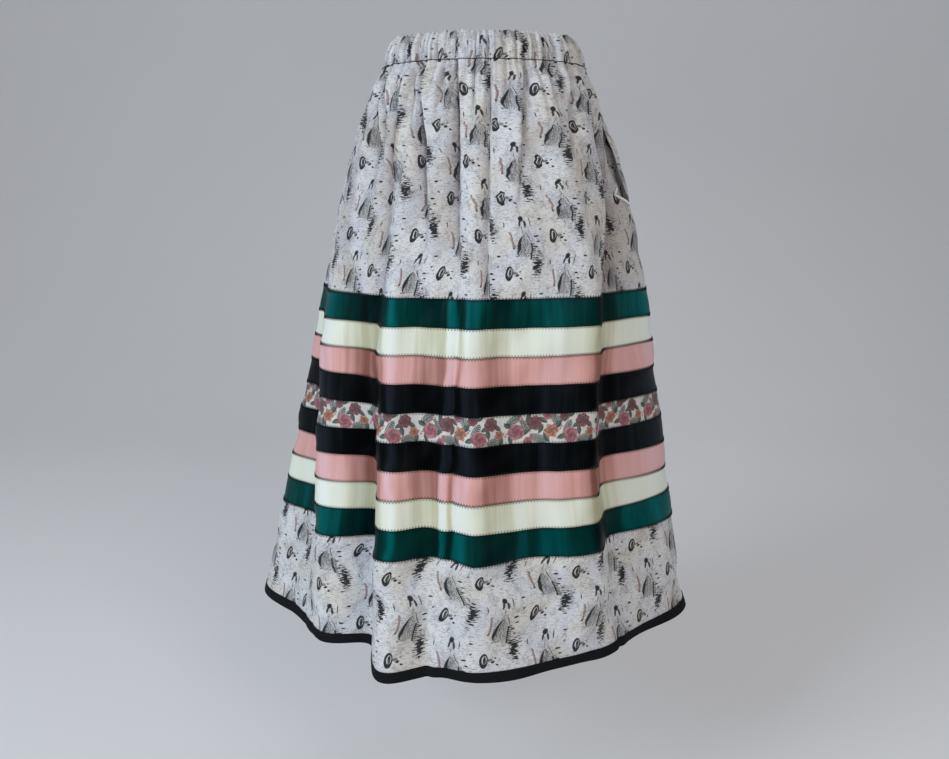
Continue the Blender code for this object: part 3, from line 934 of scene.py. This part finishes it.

# Painted light on the satin at each turn round the skirt: 0 is the painted shade of a fold, 1 the painted
# sheen of its shine.
satinPaintedLight = {
    "front": [
        (0.0, 0.60), (1.2, 0.48), (2.15, 0.75), (2.4, 0.55), (2.6, 0.28), (2.85, 0.03), (3.3, 0.05),
        (3.90, 0.30), (4.02, 0.50), (4.15, 0.85), (4.30, 0.55), (4.48, 0.50), (4.70, 0.32), (5.00, 0.18),
        (5.44, 0.16), (5.52, 0.78), (5.66, 0.70), (5.76, 0.22), (5.90, 0.68), (6.10, 0.72), (6.22, 0.48),
        (6.36, 0.20), (6.55, 0.24), (6.75, 0.55), (6.95, 0.50), (7.30, 0.66), (7.60, 0.55), (7.90, 0.42),
        (8.20, 0.02), (9.0, 0.25), (9.25, 0.60), (10.0, 0.85),
    ],
    "back": [
        (10.0, 0.85), (10.5, 0.40), (10.9, 0.80), (11.2, 0.45), (11.7, 0.20), (12.1, 0.85), (12.5, 0.55),
        (13.0, 0.15), (13.3, 0.70), (13.8, 0.40), (14.2, 0.90), (14.6, 0.45), (15.0, 0.15), (15.4, 0.80),
        (15.8, 0.50), (16.2, 0.25), (16.6, 0.75), (17.0, 0.40), (17.4, 0.15), (17.9, 0.85), (18.3, 0.45),
        (18.8, 0.20), (19.2, 0.70), (19.6, 0.45), (20.1, 0.85), (20.6, 0.35), (21.1, 0.20), (21.6, 0.60),
        (22.0, 0.50),
    ],
}


# the painted light along the ribbons, as a colour ramp through the given turns
def paintedLightRamp(tree, across, tones):
    places = ribbonPlace([turn for turn, tone in tones])
    share = (across - float(places[0])) / float(places[-1] - places[0])
    node = addNode(tree, "ShaderNodeValToRGB", Fac=share)
    node.color_ramp.interpolation = "EASE"
    stops = node.color_ramp.elements
    stops.remove(stops[1])
    for number, (place, (turn, tone)) in enumerate(zip(places, tones)):
        at = float((place - places[0]) / (places[-1] - places[0]))
        stop = stops.new(at) if number else stops[0]
        stop.position = at
        stop.color = (tone, tone, tone, 1)
    return Wire(node.outputs["Color"]) * 1.0


def makeSatinMaterial(name):
    made, tree, shader = newMaterial(name + "Satin")
    across, up = clothPlace(tree)
    look = satin[name]
    # the painted shine near "turn" leans on the way down, and noise lets the painted bands wander a little
    near = (across - float(ribbonPlace(leaningShine["turn"]))).absolute()
    near = near.below(leaningShine["width"], leaningShine["softness"])
    down = ((up - leaningShine["start"]) / -leaningShine["height"]).math("MAXIMUM", 0.0)
    wander = across + (noiseAt(tree, across, up, 14, 1, 0.5) - 0.5) * 0.022
    wander = wander + near * down * leaningShine["lean"]
    onBack = across.math("GREATER_THAN", float(ribbonPlace(rightSeam)))
    front, back = (paintedLightRamp(tree, wander, satinPaintedLight[half]) for half in ("front", "back"))
    fine = noiseAt(tree, across, up, 85, 2, 0.5, (1.0, 0.06)) - 0.5
    # painted light: below 0.5 it mixes in the painted shade, above it the painted sheen, with fine painted
    # streaks along the satin
    tone = front * onBack.inverse() + back * onBack + fine * 0.55
    colour = blendColour(tree, (tone - 0.5) * -2.0, look["base"], look["shade"])
    colour = blendColour(tree, (tone - 0.5) * 2.0, colour, look["shine"])
    tint = (*(min(1, c * 1.1 + 0.1) for c in look["shine"]), 1)
    finishCloth(tree, shader, colour, {**satinFinish, "Specular Tint": tint})
    ribs = (up * (2 * math.pi * 1500)).math("SINE") * 0.5
    pull = noiseAt(tree, across, up, 45, 3, 0.5, (1.0, 0.35))
    setBump(tree, shader, pull + ribs * 0.01, 0.22, 0.0025)
    return made


def makeThreadMaterial(name, colour):
    made, tree, shader = newMaterial(name)
    place = tree.nodes.new("ShaderNodeTexCoord")
    twist = addNode(tree, "ShaderNodeTexNoise", Scale=2600.0, Detail=1.0)
    tree.links.new(place.outputs["Object"], twist.inputs["Vector"])
    fac = Wire(twist.outputs["Fac"])
    tint = blendColour(tree, fac, colour, tuple(min(1, c * 2.2 + 0.003) for c in colour))
    finishCloth(tree, shader, tint, {"Roughness": 0.55})
    setBump(tree, shader, fac, 0.5, 0.0002)
    return made


bindingLook = {
    "dark": (0.0020, 0.0024, 0.0030),
    "worn": (0.008, 0.009, 0.011),
    "outside": 0.0013,  # metres off the cotton
    "inside": -0.0022,
    "wall": 0.0008,
    "columns": 20,  # a turn
    "rows": 5,
    "turnedIn": 0.02,  # of strip, folded over the edge
}


def makeBindingMaterial():
    made, tree, shader = newMaterial("blackBinding")
    across, up = clothPlace(tree)
    slant = weaveHeight(tree, across + up, up - across, 2200)
    worn = noiseAt(tree, across, up, 260, 3, 0.6)
    colour = blendColour(tree, worn, bindingLook["dark"], bindingLook["worn"])
    finishCloth(tree, shader, colour, {"Roughness": 0.8, "Specular IOR Level": 0.12})
    setBump(tree, shader, worn + slant * 0.05, 0.4, 0.001)
    return made


flowerPrint = {
    "repeat": 0.127,  # metres along the ribbon
    "size": 1.30,
    "ground": (0.56, 0.55, 0.52),
    "shade": (0.42, 0.42, 0.41),
    "rose": ((0.13, 0.022, 0.038), (0.46, 0.17, 0.20)),
    "peony": ((0.030, 0.006, 0.010), (0.24, 0.050, 0.060)),
    "lily": ((0.14, 0.030, 0.020), (0.52, 0.23, 0.12)),
    "leaf": ((0.010, 0.026, 0.022), (0.070, 0.120, 0.095)),
    "fern": ((0.008, 0.020, 0.018), (0.035, 0.060, 0.055)),
    "berry": ((0.24, 0.04, 0.05), (0.42, 0.12, 0.12)),
}

# What is printed on one repeat: kind, x from its left end, y from the ribbon's middle, half length and half
# width in millimetres, and lean in degrees.
flowerMarks = [
    ("fern", 13, 12, 9.5, 4.2, 35), ("fern", 47, -13, 9.5, 4.2, -15), ("fern", 71, 12, 9.0, 4.0, 125),
    ("fern", 112, -14, 9.0, 4.0, 12), ("fern", 87, 1, 8.5, 3.8, 60), ("fern", 30, 4, 8.0, 3.6, -50),
    ("leaf", 28, -5, 6.4, 3.0, 20), ("leaf", 5, 5, 6.0, 2.8, 150), ("leaf", 34, 15, 6.0, 2.6, 70),
    ("leaf", 54, 11, 6.0, 2.7, -30), ("leaf", 51, -1, 5.6, 2.5, 60), ("leaf", 74, 5, 6.5, 2.9, 45),
    ("leaf", 58, -12, 6.0, 2.6, -60), ("leaf", 79, -10, 6.2, 2.7, 200), ("leaf", 103, -3, 6.0, 2.6, 100),
    ("leaf", 99, 4, 5.2, 2.3, 30), ("leaf", 117, 4, 6.0, 2.6, -40), ("leaf", 9, -14, 5.8, 2.5, -80),
    ("leaf", 91, 17, 5.5, 2.4, 10), ("leaf", 122, -16, 5.5, 2.4, 60),
    ("rose", 17, -4, 9.2, 8.6, 0), ("peony", 43, 7, 8.4, 7.8, 0), ("lily", 65, -3, 7.8, 7.0, 30),
    ("rose", 91, -9, 8.6, 8.2, 0), ("peony", 108, 9, 7.6, 7.2, 0), ("lily", 120, -6, 5.6, 5.0, -20),
    ("rose", 61, 17, 5.4, 5.0, 0), ("peony", 83, 15, 5.6, 5.2, 0), ("rose", 33, -17, 5.2, 5.0, 0),
    ("berry", 22, 11, 1.3, 1.3, 0), ("berry", 25, 14, 1.2, 1.2, 0), ("berry", 20, 15, 1.1, 1.1, 0),
    ("berry", 38, -8, 1.3, 1.3, 0), ("berry", 40, -11, 1.2, 1.2, 0), ("berry", 37, -13, 1.1, 1.1, 0),
    ("berry", 77, 0, 1.2, 1.2, 0), ("berry", 79, 3, 1.1, 1.1, 0), ("berry", 101, -13, 1.3, 1.3, 0),
    ("berry", 104, -11, 1.1, 1.1, 0), ("berry", 2, -9, 1.2, 1.2, 0), ("berry", 4, -6, 1.1, 1.1, 0),
]


def makeFloweredMaterial(middleDrop):
    made, tree, shader = newMaterial("floweredRibbon")
    across, up = clothPlace(tree)
    repeat = flowerPrint["repeat"]
    wobble = noiseAt(tree, across, up, 420, 2, 0.5) - 0.5
    x = (across / repeat + 0.3).fraction() * (repeat * 1000) + wobble * 1.2
    y = (up + float(fallAt(middleDrop))) * 1000 + wobble * 1.2
    soft = noiseAt(tree, across, up, 90, 2, 0.5)
    colour = blendColour(tree, soft.above(0.5, 0.15) * 0.6, flowerPrint["ground"], flowerPrint["shade"])
    for kind, markX, markY, length, width, lean in flowerMarks:
        turn = math.radians(lean)
        length, width = length * flowerPrint["size"], width * flowerPrint["size"]
        u, v = x - markX, y - markY
        along = u * math.cos(turn) + v * math.sin(turn)
        side = v * math.cos(turn) - u * math.sin(turn)
        dark, light = flowerPrint[kind]
        if kind in ("rose", "peony", "lily"):
            petals = {"rose": 5, "peony": 7, "lily": 6}[kind]
            s, t = along / length, side / width
            away = (s * s + t * t).math("SQRT")
            bearing = t.math("ARCTAN2", s)
            scallop = (bearing * petals).math("COSINE") * (0.16 if kind == "lily" else 0.06)
            mask = (away + scallop).below(0.94, 0.05)
            whorl = (bearing * (petals - 2.0) + away * 9.0 + wobble * 6.0).math("SINE") * 0.5 + 0.5
            tone = whorl * away * 0.75 + away * 0.35 + wobble * 1.2 - 0.06
        elif kind == "leaf":
            s = along / length
            body = (s * s).inverse().math("MAXIMUM", 0.001) * width
            mask = (side.absolute() / body).below(0.95, 0.10) * s.absolute().below(0.98, 0.02)
            vein = side.absolute().below(0.28, 0.15)
            tone = vein * 0.6 + side.above(0.0, 0.3) * 0.45
        elif kind == "fern":
            s = along / length
            body = (s * s).inverse().math("MAXIMUM", 0.001).math("SQRT") * width
            leaflet = ((along - side.absolute() * 0.8) * 0.36).fraction().below(0.72, 0.10)
            mask = side.absolute().below(0.45, 0.15).math("MAXIMUM", leaflet)
            mask = mask * (side.absolute() / body).below(1.0, 0.08) * s.absolute().below(0.98, 0.02)
            tone = side.above(0.0, 0.5) * 0.8
        else:
            away = (u * u + v * v).math("SQRT") / length
            mask = away.below(0.9, 0.15)
            tone = away
        tint = blendColour(tree, tone, dark, light)
        colour = blendColour(tree, mask * 0.95, colour, tint)
    tree.links.new(colour, shader.inputs["Base Color"])
    shader.inputs["Roughness"].default_value = 0.62
    shader.inputs["Sheen Weight"].default_value = 0.1
    weave = weaveHeight(tree, across, up, 2600)
    setBump(tree, shader, soft * 1.0 + weave * 0.02, 0.25, 0.002)
    return made


def tubeAlong(name, paths, normals, radius, material, sides=3):
    # thread: one little tube along every path; paths and normals are lists of arrays of points
    vertices, faces, used = [], [], 0
    corners = np.arange(sides) * 2 * np.pi / sides
    for path, normal in zip(paths, normals):
        tangent = np.gradient(path, axis=0)
        tangent /= np.linalg.norm(tangent, axis=1, keepdims=True)
        beside = np.cross(tangent, normal)
        beside /= np.linalg.norm(beside, axis=1, keepdims=True)
        up = np.cross(beside, tangent)
        ring = up[:, None, :] * np.cos(corners)[None, :, None]
        ring = ring + beside[:, None, :] * np.sin(corners)[None, :, None]
        vertices.append((path[:, None, :] + ring * radius).reshape(-1, 3))
        faces.append(gridFaces(len(path), sides, used, closed=True))
        used += len(path) * sides
    return addMesh(name, np.concatenate(vertices), np.concatenate(faces), None, material)


stitching = {
    "zigzagPitch": 0.0042,
    "zigzagHeight": 0.0050,
    "threadRadius": 0.00062,
    "edgeSink": 0.6,  # of a radius, for the thread in the edge
    "stitchLength": 0.0027,
    "stitchGap": 0.0006,
    "stitchRadius": 0.00070,
    "stitchDip": 0.0004,
    "underCasing": 0.0004,
    "lift": 0.0010,
}


def roundTheSkirt(drops, spacing):
    # places evenly spaced round the skirt along each drop: points and normals by drop
    turns = np.linspace(0, foldCount, foldCount * 60 + 1)
    points, around, outwards = clothGrid(turns, drops)
    points = points + outwards * stitching["lift"]
    middle = points[len(drops) // 2]
    run = np.concatenate([[0], np.cumsum(np.linalg.norm(np.diff(middle, axis=0), axis=1))])
    at = np.interp(np.arange(0, run[-1], spacing), run, turns)

    def picked(row):
        return np.stack([np.interp(at, turns, row[:, k]) for k in range(3)], axis=1)

    return [(picked(points[row]), picked(outwards[row])) for row in range(len(drops))]


def zigzag(name, drop, material):
    # the teeth, and the thread that lies in the edge between two ribbons
    half, radius = stitching["zigzagHeight"] / 2, stitching["threadRadius"]
    upper, edge, lower = roundTheSkirt([drop - half, drop, drop + half], stitching["zigzagPitch"] / 2)
    odd = (np.arange(len(upper[0])) % 2 == 1)[:, None]
    path = np.where(odd, upper[0], lower[0])
    normal = np.where(odd, upper[1], lower[1])
    edgePath = edge[0] - edge[1] * radius * stitching["edgeSink"]
    return tubeAlong(name, [path, edgePath], [normal, edge[1]], radius, material)


def runningStitch(name, drop, material):
    # short stitches whose ends dip into the cloth
    ((place, normal),) = roundTheSkirt([drop], (stitching["stitchLength"] + stitching["stitchGap"]) / 4)
    paths, normals = [], []
    for k in range(0, len(place) - 4, 4):
        hop = place[k : k + 4].copy()
        hop[0] -= normal[k] * stitching["stitchDip"]
        hop[-1] -= normal[k + 3] * stitching["stitchDip"]
        paths.append(hop)
        normals.append(normal[k : k + 4])
    return tubeAlong(name, paths, normals, stitching["stitchRadius"], material)


# Pieces

birchCotton = makeBirchMaterial()
satins = {name: makeSatinMaterial(name) for name in satin}
blackThread = makeThreadMaterial("blackThread", (0.0030, 0.0030, 0.0036))
paleCotton = makeThreadMaterial("paleCotton", (0.50, 0.50, 0.49))
blackBinding = makeBindingMaterial()

sides = {
    "Front": {"start": 0.0, "end": float(rightSeam), "node": "front"},
    "Back": {"start": float(rightSeam), "end": float(foldCount), "node": "back"},
}

panelLook = {
    "wall": 0.0007,
    "columns": 26,  # a turn
    "yokeRowStep": 0.0045,
    "lowerRowStep": 0.008,
    "yokeEnd": 0.004,  # below the first ribbon's edge
    "aboveHem": 0.0013,
}


def makePanel(sideName):
    side, fine = sides[sideName], pocket["cornerRows"]
    top, corner = sewn["casing"] + sewn["seamGap"] / 2, sewn["pocketCorner"]
    yokeEnd = sewn["ribbonTop"] + panelLook["yokeEnd"]
    drops = np.unique(np.concatenate([
        evenDrops(top, yokeEnd, panelLook["yokeRowStep"]),
        evenDrops(yokeEnd, sewn["hem"] - panelLook["aboveHem"], panelLook["lowerRowStep"]),
        evenDrops(corner - fine["above"], corner + fine["below"], fine["step"]),
    ]))
    turns = evenTurns(side["start"], side["end"], panelLook["columns"])
    piece = clothWall("panel" + sideName, turns, drops, 0.0, -panelLook["wall"], birchCotton, sideName)
    return rideAs(piece, "birch_cotton", "panel_" + side["node"])


casingLook = {
    "columns": 32,  # a turn
    "rowStep": 0.0019,
    "puff": 0.0011,
    "frill": 0.0022,
    "ruffle": 0.0034,
    "inside": 0.0028,
    "edgeHeight": 0.009,  # the top, where the wall narrows to a fold
    "edgeOutside": 0.0012,
    "edgeInside": 0.0014,
    "thinnest": 0.0006,
}


def makeWaistband(sideName):
    side = sides[sideName]
    turns = evenTurns(side["start"], side["end"], casingLook["columns"])
    drops = evenDrops(0.0, sewn["casing"] - sewn["seamGap"] / 2, casingLook["rowStep"])
    # the elastic inside puffs the casing out, and the top edge stands up unevenly above it
    share = (drops / sewn["casing"])[:, None]
    top = np.clip(drops / casingLook["edgeHeight"], 0, 1)[:, None]
    lobes, frills = gathersAt(turns), puckersAt(turns)
    puff = casingLook["puff"] * np.sin(np.pi * np.clip(share, 0, 1)) ** 0.6
    puff = puff * (0.75 + 0.35 * lobes) + casingLook["frill"] * (frills - 0.5)
    outer = puff - casingLook["edgeOutside"] * (1 - top) ** 2
    inner = -casingLook["inside"] + casingLook["edgeInside"] * (1 - top) ** 2
    inner = np.minimum(inner, outer - casingLook["thinnest"])
    ragged = np.sin(turns * 23.0 + 3 * np.sin(turns * 5.0))[None, :]
    rise = casingLook["ruffle"] * (0.15 * lobes + 0.40 * frills + 0.32 * ragged - 0.4) * (1 - top)
    piece = clothWall("waistband" + sideName, turns, drops, outer, inner, birchCotton, sideName, rise=rise)
    return rideAs(piece, "birch_cotton", "waistband_" + side["node"])


ribbonColours = ["green", "cream", "pink", "black", "flowered", "black", "pink", "cream", "green"]
ribbonLook = {"under": 0.0003, "over": 0.0008, "rowStep": 0.0075, "apart": 0.0003}
ribbonStep = sewn["ribbonWidth"] * math.cos(sewn["ribbonSlope"])
ribbonEdges = [sewn["ribbonTop"] + ribbonStep * k for k in range(len(ribbonColours) + 1)]


def makeRibbon(number, sideName):
    side = sides[sideName]
    colour = ribbonColours[number - 1]
    gap = ribbonLook["apart"] / 2
    drops = evenDrops(ribbonEdges[number - 1] + gap, ribbonEdges[number] - gap, ribbonLook["rowStep"])
    turns = evenTurns(side["start"], side["end"], panelLook["columns"])
    material = floweredRibbon if colour == "flowered" else satins[colour]
    name = f"ribbon{number}{colour.capitalize()}{sideName}"
    piece = clothWall(name, turns, drops, ribbonLook["over"], ribbonLook["under"], material, "ribbon")
    slotName = "flowered_ribbon" if colour == "flowered" else colour + "_satin"
    return rideAs(piece, slotName, f"ribbon_{number}_{colour}_{side['node']}")


def makeBinding():
    turns = np.linspace(0, foldCount, foldCount * bindingLook["columns"] + 1)
    top, rows, wall = sewn["hem"] - sewn["bindingHeight"], bindingLook["rows"], bindingLook["wall"]
    down = np.linspace(0, 1, rows)

    def foldedOver(edge, outside, inside):
        # down the outside to an edge and up again inside: drops and lifts
        drops = np.concatenate([top + (edge - top) * down, edge - (edge - top) * down])
        return drops, np.concatenate([np.full(rows, outside), np.full(rows, inside)])

    outer = foldedOver(sewn["hem"], bindingLook["outside"], bindingLook["inside"])
    inner = foldedOver(sewn["hem"] - wall, bindingLook["outside"] - wall, bindingLook["inside"] + wall)
    vertices = []
    for drops, lifts in (outer, inner):
        points, around, outwards = clothGrid(turns, drops)
        vertices.append((points + outwards * lifts[:, None, None]).reshape(-1, 3))
    points, around, outwards = clothGrid(turns, outer[0][:rows])
    across = flatCloth(points, turns, outer[0][:rows])
    across = np.concatenate([across, across[::-1]])
    fall = (fallAt(outer[0]) + np.repeat([0, bindingLook["turnedIn"]], rows))[:, None]
    uvs = np.stack([across, -np.broadcast_to(fall, across.shape)], axis=2).reshape(-1, 2)
    faces = wallFaces(2 * rows, len(turns))
    piece = addMesh("hemBinding", np.concatenate(vertices), faces, np.concatenate([uvs] * 2), blackBinding)
    return rideAs(piece, "black_binding", "hem_binding")


def makePocketBag():
    drops = evenDrops(sewn["pocketTop"], sewn["bagBottom"], pocket["rowStep"])
    turns = evenTurns(pocket["start"], pocket["end"], pocket["columns"])
    # the bag hangs away from the mouth, so the gap looks into its shade
    down = np.sin(np.pi * np.clip((drops - sewn["pocketTop"]) / pocket["hangHeight"], 0, 1))[:, None]
    near = np.exp(-(((turns - pocket["hangTurn"]) / pocket["hangWidth"]) ** 2))[None, :]
    hang = pocket["hang"] * down * near
    outer, inner = pocket["bagOuter"] - hang, pocket["bagInner"] - hang
    piece = clothWall("pocketBag", turns, drops, outer, inner, birchCotton, seams=False)
    return rideAs(piece, "birch_cotton", "pocket_bag")


def makePocketEdge():
    # the folded edge that turns out at the bottom corner of the mouth
    corner, rolled = sewn["pocketCorner"], pocket["rolledEdge"]
    depths = np.concatenate([
        np.linspace(corner - rolled["above"], corner, 6),
        np.linspace(corner, corner + rolled["below"], 8)[1:],
    ])
    places = rightSeam - rolled["inset"] - mouthNotch(depths)
    points, around, outwards = clothGrid(places, depths)
    pick = np.arange(len(depths))
    normal = outwards[pick, pick]
    path = points[pick, pick] + normal * rolled["lift"]
    piece = tubeAlong("pocketEdge", [path], [normal], rolled["radius"], paleCotton, 6)
    return rideAs(piece, "birch_cotton")


def makeSkirt():
    for sideName in sides:
        makeWaistband(sideName)
        makePanel(sideName)
        print("sewed the", sideName.lower(), "panel and its casing")
        for number in range(1, len(ribbonColours) + 1):
            makeRibbon(number, sideName)
        print("laid the ribbons on the", sideName.lower())
    makeBinding()
    makePocketBag()
    makePocketEdge()
    print("bound the hem and hung the pocket")
    for number, edge in enumerate(ribbonEdges):
        rideAs(zigzag(f"zigzag{number}", edge, blackThread), "black_binding")
    underCasing = sewn["casing"] + stitching["underCasing"]
    rideAs(runningStitch("casingStitch", underCasing, blackThread), "black_binding")
    print("stitched the ribbons and the casing")


floweredRibbon = makeFloweredMaterial((ribbonEdges[4] + ribbonEdges[5]) / 2)
makeSkirt()


studio = {
    "focalPixels": 880.0,  # for an image 949 pixels wide
    "imageWidth": 949.0,
    "cameraPlace": (-0.014, -1.345, -0.213),
    "cameraPitch": 12.0,
    "roomColour": (0.86, 0.87, 0.90, 1),
    "roomLight": 0.30,
    "aim": (0, 0, -0.4),
    "lamps": {  # place, size in metres, watts and colour
        "keyLamp": ((-2.2, -1.9, 0.9), 1.2, 66, (0.80, 0.91, 1.0)),
        "fillLamp": ((1.3, -2.6, 0.9), 1.2, 32, (1.0, 0.95, 0.87)),
        "backLamp": ((0.6, 2.2, 1.9), 1.4, 16, (1.0, 1.0, 1.0)),
    },
    "floorDrop": 1.16,
    "floorFront": -12.0,
    "floorSide": 25.0,
    "bend": 2.0,  # radius where the floor turns up into the wall
    "wallTop": 12.0,
    "floorColours": ((0.60, 0.60, 0.61), (0.63, 0.63, 0.64)),
    "floorFinish": {"Roughness": 0.85, "Emission Color": (0.9, 0.92, 1.0, 1), "Emission Strength": 0.10},
}


def makeFloor():
    # a floor that curves up behind into a wall
    bend, side = studio["bend"], studio["floorSide"]
    angles = np.linspace(0, np.pi / 2, 17)
    curve = [(bend + bend * math.sin(angle), bend - bend * math.cos(angle)) for angle in angles]
    path = [(studio["floorFront"], 0.0), *curve, (2 * bend, studio["wallTop"])]
    rows = [[(x, y, z - studio["floorDrop"]) for x in (-side, side)] for y, z in path]
    floor = addMesh("studioFloor", np.array(rows).reshape(-1, 3), gridFaces(len(path), 2)[:, ::-1])
    made, tree, shader = newMaterial("paleFloor")
    place = tree.nodes.new("ShaderNodeTexCoord")
    cloud = addNode(tree, "ShaderNodeTexNoise", Scale=1.4, Detail=2.0)
    tree.links.new(place.outputs["Object"], cloud.inputs["Vector"])
    tint = blendColour(tree, Wire(cloud.outputs["Fac"]), *studio["floorColours"])
    finishCloth(tree, shader, tint, studio["floorFinish"])
    floor.data.materials.append(made)


def addLamp(name, place, size, watts, colour):
    lamp = bpy.data.lights.new(name, "AREA")
    lamp.energy, lamp.size, lamp.color = watts, size, colour
    holder = bpy.data.objects.new(name, lamp)
    bpy.context.scene.collection.objects.link(holder)
    holder.location = place
    aim = np.array(studio["aim"]) - np.array(place)
    holder.rotation_mode = "QUATERNION"
    holder.rotation_quaternion = Vector(aim).to_track_quat("-Z", "Y")


def makeStudio():
    makeFloor()
    scene = bpy.context.scene
    scene.world = bpy.data.worlds.new("paleRoom")
    scene.world.use_nodes = True
    background = scene.world.node_tree.nodes["Background"]
    background.inputs["Color"].default_value = studio["roomColour"]
    background.inputs["Strength"].default_value = studio["roomLight"]
    for name, (place, size, watts, colour) in studio["lamps"].items():
        addLamp(name, place, size, watts, colour)
    scene.view_settings.view_transform = "Standard"
    camera = bpy.data.cameras.new("camera")
    camera.sensor_width = 36
    camera.lens = 36 * studio["focalPixels"] / studio["imageWidth"]
    holder = bpy.data.objects.new("camera", camera)
    scene.collection.objects.link(holder)
    holder.location = studio["cameraPlace"]
    holder.rotation_euler = (math.radians(90 - studio["cameraPitch"]), 0, 0)
    scene.camera = holder
    print("lit the studio")


makeStudio()
